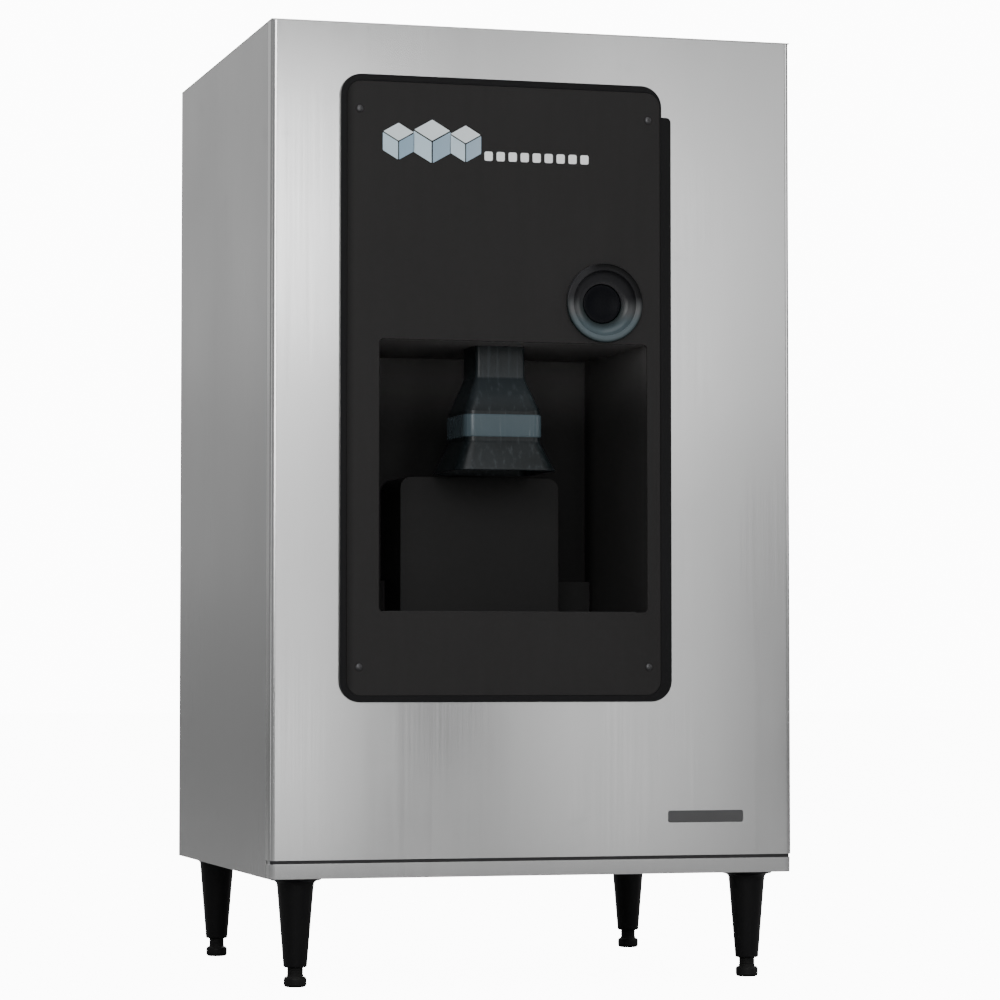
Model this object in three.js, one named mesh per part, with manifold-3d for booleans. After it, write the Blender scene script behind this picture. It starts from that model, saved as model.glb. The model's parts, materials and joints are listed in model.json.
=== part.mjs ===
// A floor-standing, push-button ice dispenser on four legs, in millimetres, +Z up.
// The origin is on the floor, at the centre of the dispenser. -Y is the front, +X the right-hand side.
import * as THREE from "three";
import { mergeVertices } from "three/addons/utils/BufferGeometryUtils.js";
import Module from "manifold-3d";

const wasm = await Module();
wasm.setup();

// Driving dimensions

// Cabinet
const cabinetWidth = 762;
const cabinetDepth = 680;
const bodyHeight = 1192;
const legHeight = 152;
const sheet = 1.5; // steel sheet of the outer panels
const fitGap = 0.3; // between pieces that only touch
const overrun = 5; // how far a cutting solid runs past what it cuts
const cornerBend = 8; // outer radius of the front panel's vertical bends
const frontReturn = 26; // how far the front panel wraps round each side
const seamGap = 0.8; // open seam between front panel and side panels
const roundSides = 12; // facets of a small round piece
const fineSides = 24; // facets of a large round piece
const holeSides = 8; // facets of a screw hole
const cornerSides = 4; // facets of a rounded corner

// Fascia, off centre to the left
const fasciaLeft = -283.6;
const fasciaRight = 199;
const fasciaTopGap = 73; // below the top of the cabinet
const fasciaHeight = 876;
const fasciaCorner = 30;
const fasciaStep = 44; // how far the top right corner of the border is stepped down
const borderWidth = 14; // the stepped strip down the right-hand side
const rimWide = 9; // border beside the panel: left, top and bottom
const rimNarrow = 2; // and on the right
const borderProud = 6;
const lipWidth = 14; // lip of the border that carries the fascia panel
const lipThickness = 2;
const panelThickness = 3.7;

// Bay, the recess that a bucket goes into
const bayLeft = -228;
const bayRight = 163;
const baySillHeight = 126; // above the fascia's lower edge
const bayHeight = 380;
const bayDepth = 300;
const bayCorner = 6;
const bayWall = 3;

// Splash guard at the back of the bay
const guardWidth = 238;
const guardFrontGap = 180; // from the cabinet front to the guard's face
const guardChuteGap = 4; // from the guard's top to the chute's mouth
const guardCorner = 16;
const guardWall = 3;
const plinthHeight = 50;
const plinthDepth = 26;

// Button
const buttonX = 99.4;
const buttonRise = 58; // button's centre above the bay
const bezelRadius = 56;
const bezelRim = 10; // width of the flat outer rim
const bezelEdge = 1.75; // chamfer round the rim
const bezelProud = 5;
const dishDepth = 15; // from the rim's top to the dish's inner edge
const buttonRadius = 27.5;
const buttonTravel = 6;
const buttonRecess = 1; // rest position of the button's face behind the dish's inner edge
const buttonGap = 0.8;
const sleeveWall = 2.5;
const sleeveLength = 26;
const stemRadius = 5;
const stemGap = 0.5;
const stemNub = 1.5; // radius of the rounded end that meets the switch lever

// Chute
const chuteFrontGap = 104; // from the cabinet front to the chute's centre
const neckWidth = 73;
const neckWall = 3;
const skirtWidth = 150;
const skirtDrop = 178; // the skirt's lower edge below the bay's top
const bandDrop = 135;
const bandHeight = 40;
const bandWidth = 112;
const shoulderDrop = 43;

// Bin above and behind the bay
const binGap = 35; // between the bay's top and the bin
const foamThickness = 28;
const linerWall = 3;
const binSetBack = 56; // from the chute's centre to the bin's front face
const driveDepth = 97; // compartment behind it
const slopeAngle = THREE.MathUtils.degToRad(30);

// Ice drive
const troughFloorFoam = 25;
const augerRadius = 50;
const augerRunning = 6; // running gap between the auger and its trough
const augerShaft = 12;
const augerPitch = 86;
const flightThickness = 4;
const gearModule = 4;
const pinionTeeth = 20;
const gearTeeth = 60;
const gearWidth = 12;
const gearBacklash = 0.7;
const pressureAngle = THREE.MathUtils.degToRad(20);
const agitatorShaft = 9;
const agitatorGap = 22; // between the auger's flight and the agitator's rods
const agitatorRod = 5;
const bearingWall = 7;
const bearingRunning = 0.6;
const bearingFlange = 5;
const bearingFlangeThickness = 4;

// Legs and feet
const legInsetX = 49;
const legInsetY = 57;
const legTopRadius = 26;
const legLowRadius = 16.5;
const legPlate = 3.5;
const legPlateRadius = 36;
const footRadius = 16;
const footPad = 15;
const footNeckRadius = 11.5;
const footNeck = 12;
const footStem = 6;
const footStemLength = 52;
const footTravel = 20;

// Fill lid on the top panel
const lidSideGap = 63; // from the lid to the cabinet's side
const lidFrontGap = 30; // from the bin's front face to the lid's front edge
const lidRearGap = 31;
const lidPlate = 4;
const lidPlugDepth = 22;
const gasketHeight = 4;
const gasketWidth = 14;
const gasketInset = 10; // room for fingers under the lid's edge
const hingePinRadius = 2.5;
const knuckleRadius = 5;
const knuckleLength = 40;
const knuckleInset = 108; // from the lid's side to the middle of each knuckle

// Rear panel vents
const ventWidth = 90;
const ventHeight = 5;
const ventPitch = 16;
const ventRows = 7;
const ventColumnX = 150;
const ventRise = 148; // lowest vent above the underside

// Base pan and inner members
const panThickness = 3;
const panFlange = 36;
const studHole = 7;
const memberWidth = 38;
const memberWall = 2.5;
const memberHeight = 28;
const shelfThickness = 2;

// Lid plug
const plugClearance = 4;
const plugInset = 30;
const hingeStandOff = 1;
const earThickness = 4;

// Fascia screws
const screwInsetX = 18; // from the panel's edge to each screw
const screwInsetZ = 40;
const screwEar = 9; // half width of the ear behind each screw
const screwRadius = 2.4;
const screwHole = 2.8;
const screwHeadRadius = 5;
const screwHeadHeight = 2.2;
const screwLength = 11;

// Blank strip on the lower right of the front panel
const stripInset = 74; // from the strip's right end to the cabinet's side
const stripWidth = 112;
const stripShare = 0.2963; // how far up the space under the fascia the strip starts
const stripHeight = 17;
const stripThickness = 1.2;
const stripCorner = 3;

// Chute and auger housing
const chuteCorner = 14;
const housingWall = 6;
const neckCorner = 6;

// Shutter and solenoid
const shutterShaft = 3;
const flapThickness = 2.4;
const flapClearance = 2;
const leverArm = 20;
const leverThickness = 5;
const leverWidth = 14;
const shutterSwing = THREE.MathUtils.degToRad(50);
const plungerRadius = 7;
const plungerPin = 2.5;
const pinSlotGap = 0.6;
const solenoidLength = 52;
const solenoidHeight = 44;
const solenoidWidth = 40;
const solenoidGap = 30; // from the lever to the solenoid's near face
const solenoidSide = 3; // beside the auger housing

// Button works
const bezelLedge = 9; // how far the rim overlaps the fascia panel
const dishShare = 0.8;
const dishSteps = 5;
const springWire = 1.2;
const springRadius = 9;
const springTurns = 4;
const wireSides = 5;
const wireSteps = 8;
const switchArm = 22;
const switchWidth = 10;
const switchLever = 1.4;

// Auger, agitator and gears
const flightSteps = 12; // facets in one turn of the flight
const rootShare = 0.7;
const agitatorRods = 4;
const rodSides = 10;
const tipShare = 0.95;
const rootDepthShare = 1.25;
const flankSteps = 1;
const hubRadius = 20;
const webHoles = 6;
const webHole = 18;

// Gearbox, motor and drive plate
const plateThickness = 3;
const gearboxGap = 6;
const gearboxDepth = 60;
const gearboxHalf = 70;
const gearboxUp = 52;
const gearboxDown = 74;
const gearboxCorner = 14;
const pillarRadius = 7;
const motorRadius = 34;
const motorLength = 150;
const plateMargin = 20;

// Sink, grille and drain
const sinkMargin = 8; // from the bay's side walls
const frontSill = 12;
const rearSill = 6;
const sinkRim = 12;
const sinkLap = 3; // how far the liner's floor laps over the sink's brim
const sinkDepth = 56;
const sinkWall = 2;
const drainRadius = 12;
const grilleThickness = 4;
const grilleBars = 15;
const grilleBar = 6;
const grilleEdge = 10;
const drainRise = 14; // from the pan's flange to the drain outlet
const drainBore = 13;
const drainFittingDepth = 14;
const drainNut = 19;
const hoseNeck = 20; // straight piece under the sink's spout
// Below it the hose's route, as shares of its run to the rear and of its drop
const hoseShares = [
  [0, 0.08], [0.01, 0.32], [0.08, 0.6], [0.22, 0.78], [0.66, 0.935], [0.81, 0.985], [0.93, 1], [1, 1],
];
const hoseSides = 8;
const hoseSteps = 18;

// Control box, inlet and rocker
const boxHousingGap = 45.7; // from the control box to the auger's housing
const boxHeight = 120;
const boxDepth = 90;
const boxFrontGap = 40;
const boxCover = 3;
const boxSideGap = 29;
const inletInset = 81; // from the cabinet's side to the inlet's centre
const inletRise = 108;
const inletWidth = 30;
const inletHeight = 24;
const inletDepth = 22;
const inletBrim = 8;
const inletBrimThickness = 2.5;
const rockerRise = 46; // rocker centre above the inlet's centre
const rockerWidth = 20;
const rockerSwing = THREE.MathUtils.degToRad(12);
const pinHalf = 1.2;
const rockerPin = 1.2;
const rockerPivot = 3.2; // pivot height above the housing's brim
const rockerHalf = 10;
const rockerTip = 2.6;
const rockerWaist = 2;
const rockerBack = 1.9;
const rockerEdge = 0.4;
const rockerFoot = 3.5;

// Feet
const padShare = 0.75;

// Colours and finishes
const steel = { color: 0xc4c6c8, roughness: 0.34, metalness: 0.9 };
const innerSteel = { color: 0x9a9da0, roughness: 0.45, metalness: 0.8 };
const charcoal = { color: 0x2a2a2b, roughness: 0.55, metalness: 0 };
const black = { color: 0x141415, roughness: 0.5, metalness: 0 };
const bayBlack = { color: 0x1b1c1d, roughness: 0.6, metalness: 0 };
const slateBlue = { color: 0x3f4c54, roughness: 0.3, metalness: 0 };
const dishBlue = { color: 0x4a5a63, roughness: 0.25, metalness: 0 };
const white = { color: 0xe8ebec, roughness: 0.5, metalness: 0 };
const foam = { color: 0xd9cfae, roughness: 0.9, metalness: 0 };
const brass = { color: 0xb08d4a, roughness: 0.4, metalness: 0.9 };
const rubber = { color: 0x303235, roughness: 0.85, metalness: 0 };
const motorBlue = { color: 0x39434d, roughness: 0.5, metalness: 0.3 };

// Places that follow from the driving dimensions
const halfWidth = cabinetWidth / 2;
const front = -cabinetDepth / 2;
const rear = cabinetDepth / 2;
const floorZ = legHeight; // underside of the cabinet
const roof = legHeight + bodyHeight; // top of the cabinet
const insideX = halfWidth - sheet - fitGap;
const fasciaTop = roof - fasciaTopGap;
const fasciaBottom = fasciaTop - fasciaHeight;
const bayBottom = fasciaBottom + baySillHeight;
const bayTop = bayBottom + bayHeight;
const buttonZ = bayTop + buttonRise;
const skirtBottom = bayTop - skirtDrop;
const guardHeight = bayHeight - skirtDrop - guardChuteGap;
const bandBottom = bayTop - bandDrop;
const bandTop = bandBottom + bandHeight;
const shoulderBottom = bayTop - shoulderDrop;
const binBottom = bayTop + binGap;
const chuteY = front + chuteFrontGap;
const binFrontFace = chuteY + binSetBack;
const binRearFace = rear - driveDepth;
const lidLeft = -halfWidth + lidSideGap;
const lidRight = halfWidth - lidSideGap;
const lidFrontEdge = binFrontFace + lidFrontGap;
const lidRearEdge = binRearFace - lidRearGap;
const knuckleX = lidRight - knuckleInset;
const ventBottom = floorZ + ventRise;
const stripLeft = halfWidth - stripInset - stripWidth;
const stripBottom = floorZ + (fasciaBottom - floorZ) * stripShare;
const drainZ = floorZ + panFlange + drainBore + drainRise;
const boxLeft = -insideX + boxSideGap;
const inletX = halfWidth - inletInset;
const inletZ = floorZ + inletRise;
const frontInside = front + sheet;
const rearInside = rear - sheet;
const bayCentre = (bayLeft + bayRight) / 2;
const augerZ = binBottom + troughFloorFoam + linerWall + augerRunning + augerRadius;
const gearDistance = (gearModule * (pinionTeeth + gearTeeth)) / 2;
const agitatorReach = gearDistance - augerRadius - agitatorGap;
const agitatorZ = augerZ + gearDistance;
const fasciaFace = front - borderProud; // front of the border and of the fascia panel
const bayBack = front + bayDepth;
const lipFace = front - lipThickness; // the fascia panel rests on this plane
const panelFace = lipFace - panelThickness;
const frontClear = front + cornerBend + fitGap; // inner pieces stay behind the panel's bends
const shelfTop = bayTop + bayWall + shelfThickness;
const innerFront = binFrontFace + foamThickness + linerWall;
const innerRear = binRearFace - foamThickness - linerWall;
const housingOuter = augerRadius + augerRunning + housingWall;
const housingBottom = augerZ - housingOuter;
const boxRight = bayCentre - housingOuter - boxHousingGap;
const housingFront = chuteY - neckWidth / 2 - housingWall;
const plateBack = binRearFace + plateThickness;
const pinionY = plateBack + bearingFlangeThickness + 2 * fitGap + gearWidth / 2;
const shutterY = chuteY + neckWidth / 2 - neckWall - 2 * shutterShaft;
const shutterZ = housingBottom - 4 * shutterShaft;
const leverX = bayCentre + housingOuter + solenoidSide + solenoidWidth / 2 - leverThickness / 2;
const bezelBody = bezelRadius - bezelLedge;
const buttonSleeve = buttonRadius + buttonGap;
const frontReach = borderProud - fitGap + bezelProud; // how far the button's rim stands out
const rearReach = frontReach; // and the pieces on the rear panel stand out as far
const sinkLeft = bayLeft + sinkMargin;
const sinkRight = bayRight - sinkMargin;
const sinkFront = front + frontSill;
const sinkRear = front + guardFrontGap - rearSill;
const drainX = bayCentre;
const rockerZ = inletZ + rockerRise;

const dispenser = new THREE.Group();

// Helpers

function add(name, geometry, finish) {
  const mesh = new THREE.Mesh(geometry, new THREE.MeshStandardMaterial(finish));
  mesh.name = name;
  dispenser.add(mesh);
  return mesh;
}

// A closed geometry as a solid that can be joined and cut.
function solid(geometry) {
  const bare = new THREE.BufferGeometry();
  bare.setAttribute("position", geometry.getAttribute("position"));
  if (geometry.index) bare.setIndex(geometry.index);
  const merged = mergeVertices(bare, 1e-4);
  return new wasm.Manifold(
    new wasm.Mesh({
      numProp: 3,
      vertProperties: new Float32Array(merged.attributes.position.array),
      triVerts: new Uint32Array(merged.index.array),
    }),
  );
}

function geometryOf(body) {
  const { vertProperties, triVerts, numProp } = body.getMesh();
  const points = new Float32Array(triVerts.length * 3);
  triVerts.forEach((vertex, i) => {
    for (let k = 0; k < 3; k++) points[i * 3 + k] = vertProperties[vertex * numProp + k];
  });
  const geometry = new THREE.BufferGeometry();
  geometry.setAttribute("position", new THREE.BufferAttribute(points, 3));
  geometry.computeVertexNormals();
  return geometry;
}

const joined = (first, ...more) => geometryOf(more.reduce((sum, g) => sum.add(solid(g)), solid(first)));
const cut = (base, ...tools) => geometryOf(tools.reduce((sum, g) => sum.subtract(solid(g)), solid(base)));

// A block from its lowest to its highest corner.
function block([x0, y0, z0], [x1, y1, z1]) {
  const geometry = new THREE.BoxGeometry(x1 - x0, y1 - y0, z1 - z0);
  return geometry.translate((x0 + x1) / 2, (y0 + y1) / 2, (z0 + z1) / 2);
}

// Extrusions of an outline drawn in the plane named first, along the axis named last.
const flatly = (outline, depth) =>
  new THREE.ExtrudeGeometry(outline, { depth, bevelEnabled: false, curveSegments: cornerSides });

function alongZ(outline, z0, z1) {
  return flatly(outline, z1 - z0).translate(0, 0, z0);
}

function alongY(outline, y0, y1) {
  return flatly(outline, y1 - y0).rotateX(Math.PI / 2).translate(0, y1, 0);
}

function alongX(outline, x0, x1) {
  const turn = new THREE.Matrix4().makeBasis(
    new THREE.Vector3(0, 1, 0),
    new THREE.Vector3(0, 0, 1),
    new THREE.Vector3(1, 0, 0),
  );
  return flatly(outline, x1 - x0).applyMatrix4(turn).translate(x0, 0, 0);
}

function outlineOf(points) {
  return new THREE.Shape(points.map(([a, b]) => new THREE.Vector2(a, b)));
}

function rounded(left, right, bottom, top, radius) {
  const shape = new THREE.Shape();
  const r = Math.min(radius, (right - left) / 2, (top - bottom) / 2);
  shape.moveTo(left + r, bottom);
  shape.lineTo(right - r, bottom);
  shape.absarc(right - r, bottom + r, r, -Math.PI / 2, 0);
  shape.lineTo(right, top - r);
  shape.absarc(right - r, top - r, r, 0, Math.PI / 2);
  shape.lineTo(left + r, top);
  shape.absarc(left + r, top - r, r, Math.PI / 2, Math.PI);
  shape.lineTo(left, bottom + r);
  shape.absarc(left + r, bottom + r, r, Math.PI, 1.5 * Math.PI);
  return shape;
}

// A turned piece round the Z axis, its profile listed as [radius, height] from the bottom up the outside.
function turned(profile, sides = roundSides) {
  const points = profile.map(([r, z]) => new THREE.Vector2(r, z));
  return new THREE.LatheGeometry(points, sides).rotateX(Math.PI / 2);
}

const toY = (geometry) => geometry.rotateX(-Math.PI / 2); // the turned axis now runs along +Y
const toX = (geometry) => geometry.rotateY(Math.PI / 2); // the turned axis now runs along +X

function rodZ(radius, z0, z1, sides = roundSides) {
  return turned([[0, z0], [radius, z0], [radius, z1], [0, z1]], sides);
}

const rodY = (radius, y0, y1, x, z, sides = roundSides) =>
  toY(rodZ(radius, y0, y1, sides)).translate(x, 0, z);
const rodX = (radius, x0, x1, y, z, sides = roundSides) =>
  toX(rodZ(radius, x0, x1, sides)).translate(0, y, z);

// A ring round the Z axis: its profile closes on itself.
function ringZ(inner, outer, z0, z1, sides = roundSides) {
  return turned([[inner, z0], [outer, z0], [outer, z1], [inner, z1], [inner, z0]], sides);
}

// A turned piece whose heights are depths behind the front plane. The profile is listed from the deepest
// point, up the outside, to the face that looks forwards.
function turnedForward(profile, sides) {
  const points = profile.map(([r, depth]) => [r, -depth]);
  return turned(points, sides).rotateX(Math.PI / 2);
}

// Cabinet shell

function cabinet() {
  const sideFront = front + frontReturn + seamGap;
  const sideTop = roof - sheet;
  for (const [name, sign] of [["side_panel_left", -1], ["side_panel_right", 1]]) {
    const outer = sign * halfWidth;
    const inner = sign * (halfWidth - sheet);
    const low = [Math.min(outer, inner), sideFront, floorZ];
    const high = [Math.max(outer, inner), rear, sideTop];
    add(name, block(low, high), steel);
  }

  // The front panel is a shallow channel: a face with a return down each side.
  const bent = new THREE.Shape();
  const bend = Math.max(cornerBend, sheet);
  bent.moveTo(-halfWidth, front + frontReturn);
  bent.lineTo(-halfWidth, front + bend);
  bent.absarc(-halfWidth + bend, front + bend, bend, Math.PI, 1.5 * Math.PI);
  bent.lineTo(halfWidth - bend, front);
  bent.absarc(halfWidth - bend, front + bend, bend, -Math.PI / 2, 0);
  bent.lineTo(halfWidth, front + frontReturn);
  bent.lineTo(halfWidth - sheet, front + frontReturn);
  bent.lineTo(halfWidth - sheet, front + bend);
  bent.absarc(halfWidth - bend, front + bend, bend - sheet, 0, -Math.PI / 2, true);
  bent.lineTo(-halfWidth + bend, front + sheet);
  bent.absarc(-halfWidth + bend, front + bend, bend - sheet, 1.5 * Math.PI, Math.PI, true);
  bent.lineTo(-halfWidth + sheet, front + frontReturn);
  const face = solid(alongZ(bent, floorZ, sideTop));
  const opened = face.subtract(accessOpening(front - overrun, frontInside + overrun));
  add("front_panel", geometryOf(drilled(opened, front - overrun, frontInside + overrun)), steel);

  rearPanel(sideTop);
  topPanel();
  basePan();
}

function rearPanel(top) {
  const panel = block([-insideX, rearInside, floorZ], [insideX, rear, top]);
  const tools = [];
  for (const side of [-1, 1]) {
    for (let row = 0; row < ventRows; row++) {
      const z = ventBottom + row * ventPitch;
      const x = side * ventColumnX;
      const low = [x - ventWidth / 2, rearInside - overrun, z];
      tools.push(block(low, [x + ventWidth / 2, rear + overrun, z + ventHeight]));
    }
  }
  tools.push(rodY(drainBore + fitGap, rearInside - overrun, rear + overrun, drainX, drainZ));
  tools.push(
    block(
      [inletX - inletWidth / 2 - fitGap, rearInside - overrun, inletZ - inletHeight / 2 - fitGap],
      [inletX + inletWidth / 2 + fitGap, rear + overrun, inletZ + inletHeight / 2 + fitGap],
    ),
  );
  add("rear_panel", cut(panel, ...tools), steel);
}

// The fill opening is as wide as the lid's plug, with room for it to swing.
function topPanel() {
  const sheetTop = block([-halfWidth, front, roof - sheet], [halfWidth, rear, roof]);
  const fill = block(
    [lidLeft + plugInset - plugClearance, lidFrontEdge + plugInset - plugClearance, roof - sheet - overrun],
    [lidRight - plugInset + plugClearance, lidRearEdge - plugInset + plugClearance, roof + overrun],
  );
  add("top_panel", cut(sheetTop, fill), steel);
}

function basePan() {
  const low = floorZ;
  const outer = block([-insideX, frontClear, low], [insideX, rearInside - fitGap, low + panFlange]);
  const hollow = block(
    [-insideX + panThickness, frontClear + panThickness, low + panThickness],
    [insideX - panThickness, rearInside - fitGap - panThickness, low + panFlange + overrun],
  );
  const holes = legPlaces().map(([x, y]) =>
    rodZ(studHole, low - overrun, low + panThickness + overrun).translate(x, y, 0),
  );
  add("base_pan", cut(outer, hollow, ...holes), innerSteel);
}

// Inner structure

// A channel, open downwards, that runs from side panel to side panel.
function channelOutline(y0, y1, top, height, wall) {
  return outlineOf([
    [y0, top - height],
    [y0 + wall, top - height],
    [y0 + wall, top - wall],
    [y1 - wall, top - wall],
    [y1 - wall, top - height],
    [y1, top - height],
    [y1, top],
    [y0, top],
  ]);
}

function structure() {
  const member = channelOutline(
    binRearFace - memberWidth, binRearFace, binBottom, memberHeight, memberWall,
  );
  add("cross_member_rear", alongX(member, -insideX, insideX), innerSteel);

  // The shelf over the bay turns up at its rear edge and back under the bin.
  const shelfZ = bayTop + bayWall;
  const shelfFront = frontClear;
  const riser = binFrontFace + memberWidth;
  const profile = outlineOf([
    [shelfFront, shelfZ],
    [riser, shelfZ],
    [riser, binBottom],
    [binFrontFace, binBottom],
    [binFrontFace, binBottom - memberWall],
    [riser - memberWall, binBottom - memberWall],
    [riser - memberWall, shelfZ + shelfThickness],
    [shelfFront, shelfZ + shelfThickness],
  ]);
  const neckHalf = neckWidth / 2 + fitGap;
  const neckHole = block(
    [bayCentre - neckHalf, chuteY - neckHalf, shelfZ - overrun],
    [bayCentre + neckHalf, chuteY + neckHalf, shelfZ + shelfThickness + overrun],
  );
  add("front_shelf", cut(alongX(profile, -insideX, insideX), neckHole), innerSteel);
}

// Fascia

// The fascia panel's outline lies inside the border's rims.
function panelOutline(gap) {
  return rounded(
    fasciaLeft + rimWide + gap,
    fasciaRight - borderWidth - rimNarrow - gap,
    fasciaBottom + rimWide + gap,
    fasciaTop - rimWide - gap,
    fasciaCorner - rimWide - gap,
  );
}

function fasciaScrewPlaces() {
  const left = fasciaLeft + rimWide + screwInsetX;
  const right = fasciaRight - borderWidth - rimNarrow - screwInsetX;
  const low = fasciaBottom + rimWide + screwInsetZ;
  const high = fasciaTop - rimWide - screwInsetZ;
  return [[left, high], [right, high], [left, low], [right, low]];
}

// The opening behind the panel, through the steel and the border's lip, with an ear left at each screw.
function accessOpening(y0, y1) {
  let opening = solid(alongY(panelOutline(lipWidth), y0, y1));
  for (const [x, z] of fasciaScrewPlaces()) {
    const side = x < bayCentre ? -1 : 1;
    const reach = x - side * screwEar;
    const edge = x + side * (screwInsetX + screwEar);
    const low = [Math.min(reach, edge), y0 - overrun, z - screwEar];
    opening = opening.subtract(solid(block(low, [Math.max(reach, edge), y1 + overrun, z + screwEar])));
  }
  return opening;
}

// A solid with the four screw holes through it.
function drilled(body, y0, y1) {
  const holes = fasciaScrewPlaces().map(([x, z]) => solid(rodY(screwHole, y0, y1, x, z, holeSides)));
  return holes.reduce((left, hole) => left.subtract(hole), body);
}

function borderOutline() {
  const shape = new THREE.Shape();
  const r = fasciaCorner;
  const stepX = fasciaRight - borderWidth;
  const stepZ = fasciaTop - fasciaStep;
  const small = borderWidth / 2;
  shape.moveTo(fasciaLeft + r, fasciaBottom);
  shape.lineTo(fasciaRight - r, fasciaBottom);
  shape.absarc(fasciaRight - r, fasciaBottom + r, r, -Math.PI / 2, 0);
  shape.lineTo(fasciaRight, stepZ - small);
  shape.absarc(fasciaRight - small, stepZ - small, small, 0, Math.PI / 2);
  shape.lineTo(stepX, stepZ);
  shape.lineTo(stepX, fasciaTop - r);
  shape.absarc(stepX - r, fasciaTop - r, r, 0, Math.PI / 2);
  shape.lineTo(fasciaLeft + r, fasciaTop);
  shape.absarc(fasciaLeft + r, fasciaTop - r, r, Math.PI / 2, Math.PI);
  shape.lineTo(fasciaLeft, fasciaBottom + r);
  shape.absarc(fasciaLeft + r, fasciaBottom + r, r, Math.PI, 1.5 * Math.PI);
  return shape;
}

function fascia() {
  const screws = fasciaScrewPlaces();

  // Border: a frame with a lip behind the panel
  const recess = solid(alongY(panelOutline(0), fasciaFace - overrun, lipFace));
  const frame = solid(alongY(borderOutline(), fasciaFace, front))
    .subtract(recess)
    .subtract(accessOpening(lipFace - overrun, front + overrun));
  add("fascia_frame", geometryOf(drilled(frame, lipFace - overrun, front + overrun)), charcoal);

  // Panel: sits in the border, with the bay's opening and the button's hole
  const window = rounded(bayLeft, bayRight, bayBottom, bayTop, bayCorner);
  const buttonHole = rodY(
    bezelBody + fitGap, panelFace - overrun, lipFace + overrun, buttonX, buttonZ, fineSides,
  );
  const plate = solid(alongY(panelOutline(fitGap), panelFace, lipFace))
    .subtract(solid(alongY(window, panelFace - overrun, lipFace + overrun)))
    .subtract(solid(buttonHole));
  add("fascia_panel", geometryOf(drilled(plate, panelFace - overrun, lipFace + overrun)), charcoal);

  screws.forEach(([x, z], i) => {
    const screw = turned([
      [0, -screwLength],
      [screwRadius, -screwLength],
      [screwRadius, 0],
      [screwHeadRadius, 0],
      [screwHeadRadius, screwHeadHeight / 2],
      [screwHeadRadius / 2, screwHeadHeight],
      [0, screwHeadHeight],
    ], holeSides);
    // turned over so that the head faces the front
    add("fascia_screw_" + (i + 1), screw.rotateX(Math.PI / 2).translate(x, panelFace, z), steel);
  });

  const strip = rounded(
    stripLeft, stripLeft + stripWidth, stripBottom, stripBottom + stripHeight, stripCorner,
  );
  add("blank_strip", alongY(strip, front - stripThickness, front), black);
}

// Bay

function bay() {
  const liner = block(
    [bayLeft - bayWall, lipFace, bayBottom - bayWall],
    [bayRight + bayWall, bayBack + bayWall, bayTop + bayWall],
  );
  const space = block([bayLeft, lipFace - overrun, bayBottom], [bayRight, bayBack, bayTop]);
  const neckHalf = neckWidth / 2 + fitGap;
  const neckHole = block(
    [bayCentre - neckHalf, chuteY - neckHalf, bayTop - overrun],
    [bayCentre + neckHalf, chuteY + neckHalf, bayTop + bayWall + overrun],
  );
  const sinkHole = block(
    [sinkLeft + sinkLap, sinkFront + sinkLap, bayBottom - bayWall - overrun],
    [sinkRight - sinkLap, sinkRear - sinkLap, bayBottom + overrun],
  );
  add("bay_liner", cut(liner, space, neckHole, sinkHole), bayBlack);

  // The guard is a hollow cover, open at the back, on a low plinth as wide as the bay.
  const guardFace = front + guardFrontGap;
  const guardBack = bayBack - fitGap;
  const left = bayCentre - guardWidth / 2;
  const right = bayCentre + guardWidth / 2;
  const bottom = bayBottom + fitGap;
  const top = bayBottom + guardHeight;
  const upright = (inset) => {
    const shape = new THREE.Shape();
    const r = guardCorner - inset;
    shape.moveTo(left + inset, bottom);
    shape.lineTo(right - inset, bottom);
    shape.lineTo(right - inset, top - guardCorner);
    shape.absarc(right - guardCorner, top - guardCorner, r, 0, Math.PI / 2);
    shape.lineTo(left + guardCorner, top - inset);
    shape.absarc(left + guardCorner, top - guardCorner, r, Math.PI / 2, Math.PI);
    return shape;
  };
  const cover = alongY(upright(0), guardFace, guardBack);
  const wings = block(
    [bayLeft + fitGap, guardBack - plinthDepth, bottom],
    [bayRight - fitGap, guardBack, bayBottom + plinthHeight],
  );
  const inside = alongY(upright(guardWall), guardFace + guardWall, guardBack + overrun);
  const body = solid(cover).add(solid(wings)).subtract(solid(inside));
  add("splash_guard", geometryOf(body), bayBlack);
}

// Chute

// A tube lofted through rounded square sections, each given as [half width, corner radius, height].
function loftedTube(sections, wall) {
  const ring = (half, radius, z) => {
    const points = [];
    const inner = half - radius;
    for (let corner = 0; corner < 4; corner++) {
      const start = (corner * Math.PI) / 2;
      const cx = inner * Math.SQRT2 * Math.cos(start + Math.PI / 4);
      const cy = inner * Math.SQRT2 * Math.sin(start + Math.PI / 4);
      for (let i = 0; i <= cornerSides; i++) {
        const angle = start + (i * Math.PI) / (2 * cornerSides);
        points.push([cx + radius * Math.cos(angle), cy + radius * Math.sin(angle), z]);
      }
    }
    return points;
  };
  const outside = sections.map(([half, radius, z]) => ring(half, radius, z));
  const insideWalls = sections.map(([half, radius, z]) => ring(half - wall, radius - wall, z)).reverse();
  const rings = [...outside, ...insideWalls];
  const count = rings[0].length;
  const positions = rings.flat(2);
  const index = [];
  rings.forEach((_, r) => {
    const next = (r + 1) % rings.length;
    for (let i = 0; i < count; i++) {
      const a = r * count + i;
      const b = r * count + ((i + 1) % count);
      const c = next * count + ((i + 1) % count);
      const d = next * count + i;
      index.push(a, b, c, a, c, d);
    }
  });
  const geometry = new THREE.BufferGeometry();
  geometry.setAttribute("position", new THREE.Float32BufferAttribute(positions, 3));
  geometry.setIndex(index);
  return geometry;
}

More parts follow.
